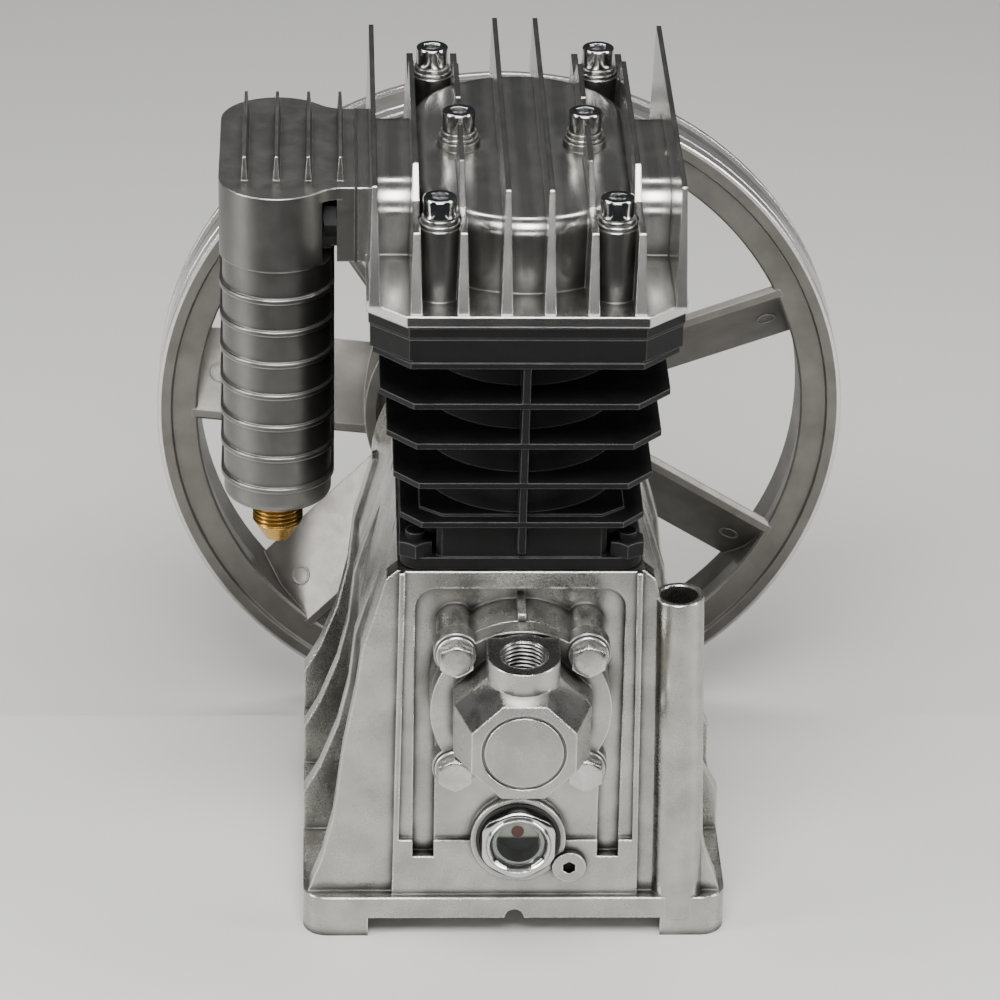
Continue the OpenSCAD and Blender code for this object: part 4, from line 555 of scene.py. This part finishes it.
def makeCupFinish(v, low, high):
    material, tree, shader = startMaterial("enamelCup", {"IOR": v["bending"], "Roughness": v["rough"]})
    coords = addNode(tree, "ShaderNodeTexCoord").outputs["Object"]
    height = addNode(tree, "ShaderNodeSeparateXYZ", {"Vector": coords}).outputs["Z"]
    cloud = noiseAt(tree, coords, v["cloud"], v["detail"])
    cream, oil = (mixColors(tree, cloud, *[toLinear(code) for code in v[part]]) for part in ("cream", "oil"))
    tree.links.new(mixColors(tree, spread(tree, height, low * mm, high * mm, 1.0, 0.0), cream, oil),
                   shader.inputs["Base Color"])
    return material


def makeSightGlass(v):
    outer, h, foot, face = np.minimum(hexRadius(v["flats"]), v["corner"]), v["height"], v["foot"], v["face"]
    body = turnedGrid([(v["stem"], -v["stemDepth"]), (v["stem"], 0.0), (outer - foot, 0.0), (outer, foot),
                       (outer, h - (outer - face) * v["slope"]), (face, h)]
                      + [(radius, h + rise) for radius, rise in v["collar"]] + list(v["cup"]))
    piece = makePiece("sightGlass", [placed(body, v["place"], "front")], chromeSteel, "housing",
                      ["sight_glass_body"])
    piece.data.materials.append(makeCupFinish(cupLook, *v["oilLevel"]))
    centres = np.empty(len(piece.data.polygons) * 3, dtype=np.float32)
    piece.data.polygons.foreach_get("center", centres)
    centres = centres.reshape(-1, 3) / mm - np.array(v["place"])
    radius, depth = np.hypot(centres[:, 0], centres[:, 2]), centres[:, 1]
    inside = (radius < v["cupReach"]) & (depth > v["cupStart"]) & (depth < v["cupEnd"])
    piece.data.polygons.foreach_set("material_index", inside.astype(np.int32))
    makePiece("sealAndShadeRing", [], nitrileRubber, "housing",
              loops=[placed(washerGrid(**sealAndShadeRing), v["place"], "front")])


# Marks of the die's pushers on the fan blades: a shallow disc near the rim, on the side towards the front
bladeMarks = dict(count=7, phase=20.0, across=31.0, deep=27.0, middle=173.75, half=2.5, reach=125.0, radius=4.6,
                  sunk=0.3, height=0.35, corner=(0.2, 0.15), rim=0.8, dish=1.0, dishFloor=0.05)


def makeBladeMarks(v):
    pitch = math.atan2(v["deep"], v["across"])
    # local axes: x along the blade, z out of its front side
    out = np.array([0, -math.cos(pitch), -math.sin(pitch)])
    axes = np.stack([np.array([1.0, 0, 0]), np.cross(out, [1.0, 0, 0]), out], axis=1)
    radius, height = v["radius"], v["height"]
    cornerWidth, cornerHeight = v["corner"]
    disc = turnedGrid([(radius, -v["sunk"]), (radius, height - cornerHeight), (radius - cornerWidth, height),
                       (radius - v["rim"], height), (radius - v["dish"], v["dishFloor"])])
    disc = disc @ axes.T + np.array([v["reach"], v["middle"], 0]) + out * v["half"]
    grids = []
    for k in range(v["count"]):
        a = math.radians(v["phase"] + 360 * k / v["count"])
        turn = np.array([[math.cos(a), 0, -math.sin(a)], [0, 1, 0], [math.sin(a), 0, math.cos(a)]])
        grids.append(disc @ turn.T + np.array([0, 0, shaftHeight]))
    makePiece("bladeMarks", grids, wheelMetal, "shaft")


makeBladeMarks(bladeMarks)
makePortThreads()
makeNipple(nipple)
makeSightGlass(sightGlass)
print("threads and sight glass ready")


# The stage, the lights and the camera

stageValues = dict(color="#C6C5C2", tableFront=-400.0, tableRear=95.0, edge=0.5, step=36.0, reach=1200.0, back=1500.0)


def makeStage(v):
    # A profile in the YZ plane, carried straight along X: table, small step down behind it, floor
    y = np.array([v["tableFront"], v["tableRear"], v["tableRear"] + v["edge"], v["back"]])
    z = np.array([0.0, 0.0, -v["step"], -v["step"]])
    x = np.array([-v["reach"], v["reach"]])
    points = np.stack([np.repeat(x, len(y)), np.tile(y, 2), np.tile(z, 2)], axis=1) * mm
    first = np.arange(len(y) - 1)
    faces = np.stack([first, first + len(y), first + len(y) + 1, first + 1], axis=1)
    mesh = bpy.data.meshes.new("stage")
    mesh.from_pydata(points.tolist(), [], faces.tolist())
    stage = bpy.data.objects.new("stage", mesh)
    bpy.context.scene.collection.objects.link(stage)
    material, tree, shader = startMaterial("paleStage", {"Roughness": 0.6, "Base Color": toLinear(v["color"])})
    mesh.materials.append(material)


lightValues = {
    # name: place, aimed at, width, height, watts
    "overheadFront": ((-60, -850, 1550), (0, -20, 250), 1000, 800, 40.0),
    "lowFront": ((-100, -1700, 420), (0, 0, 220), 1500, 90, 10.0),
    "leftPanel": ((-1250, -450, 700), (0, 0, 180), 300, 1100, 22.0),
    "rightPanel": ((1250, -350, 800), (0, 0, 200), 300, 1000, 18.0),
    "rearStrip": ((0, 1000, 1700), (0, 60, 250), 1400, 160, 16.0),
}


worldValues = dict(color="#5C5E61", strength=0.3)


def makeLights():
    for name, (place, aim, width, height, watts) in lightValues.items():
        lamp = bpy.data.lights.new(name, "AREA")
        lamp.shape = "RECTANGLE"
        lamp.size, lamp.size_y = width * mm, height * mm
        lamp.energy = watts
        item = bpy.data.objects.new(name, lamp)
        item.location = Vector(place) * mm
        item.rotation_euler = (Vector(aim) - Vector(place)).to_track_quat("-Z", "Y").to_euler()
        bpy.context.scene.collection.objects.link(item)
    world = bpy.data.worlds.new("room")
    world.use_nodes = True
    world.node_tree.nodes["Background"].inputs["Color"].default_value = toLinear(worldValues["color"])
    world.node_tree.nodes["Background"].inputs["Strength"].default_value = worldValues["strength"]
    bpy.context.scene.world = world


cameraValues = dict(place=(-79.4, -1768.9, 1078.0), down=27.5, aside=2.117, roll=-0.05, lens=174.5,
                    sensor=36, near=0.1, far=20)


def makeCamera(v):
    down, aside, roll = (math.radians(v[key]) for key in ("down", "aside", "roll"))
    forward = Vector((math.sin(aside), math.cos(aside) * math.cos(down), -math.cos(aside) * math.sin(down)))
    up = Vector((0, math.sin(down), math.cos(down)))
    right = forward.cross(up)
    turned = Matrix.Rotation(roll, 3, forward)
    right, up = turned @ right, turned @ up
    camera = bpy.data.objects.new("camera", bpy.data.cameras.new("camera"))
    camera.data.lens, camera.data.sensor_width = v["lens"], v["sensor"]
    camera.data.clip_start, camera.data.clip_end = v["near"], v["far"]
    camera.matrix_world = Matrix((
        (right.x, up.x, -forward.x, v["place"][0] * mm), (right.y, up.y, -forward.y, v["place"][1] * mm),
        (right.z, up.z, -forward.z, v["place"][2] * mm), (0, 0, 0, 1)))
    bpy.context.scene.collection.objects.link(camera)
    bpy.context.scene.camera = camera


makeStage(stageValues)
makeLights()
makeCamera(cameraValues)
print("stage, lights and camera ready")
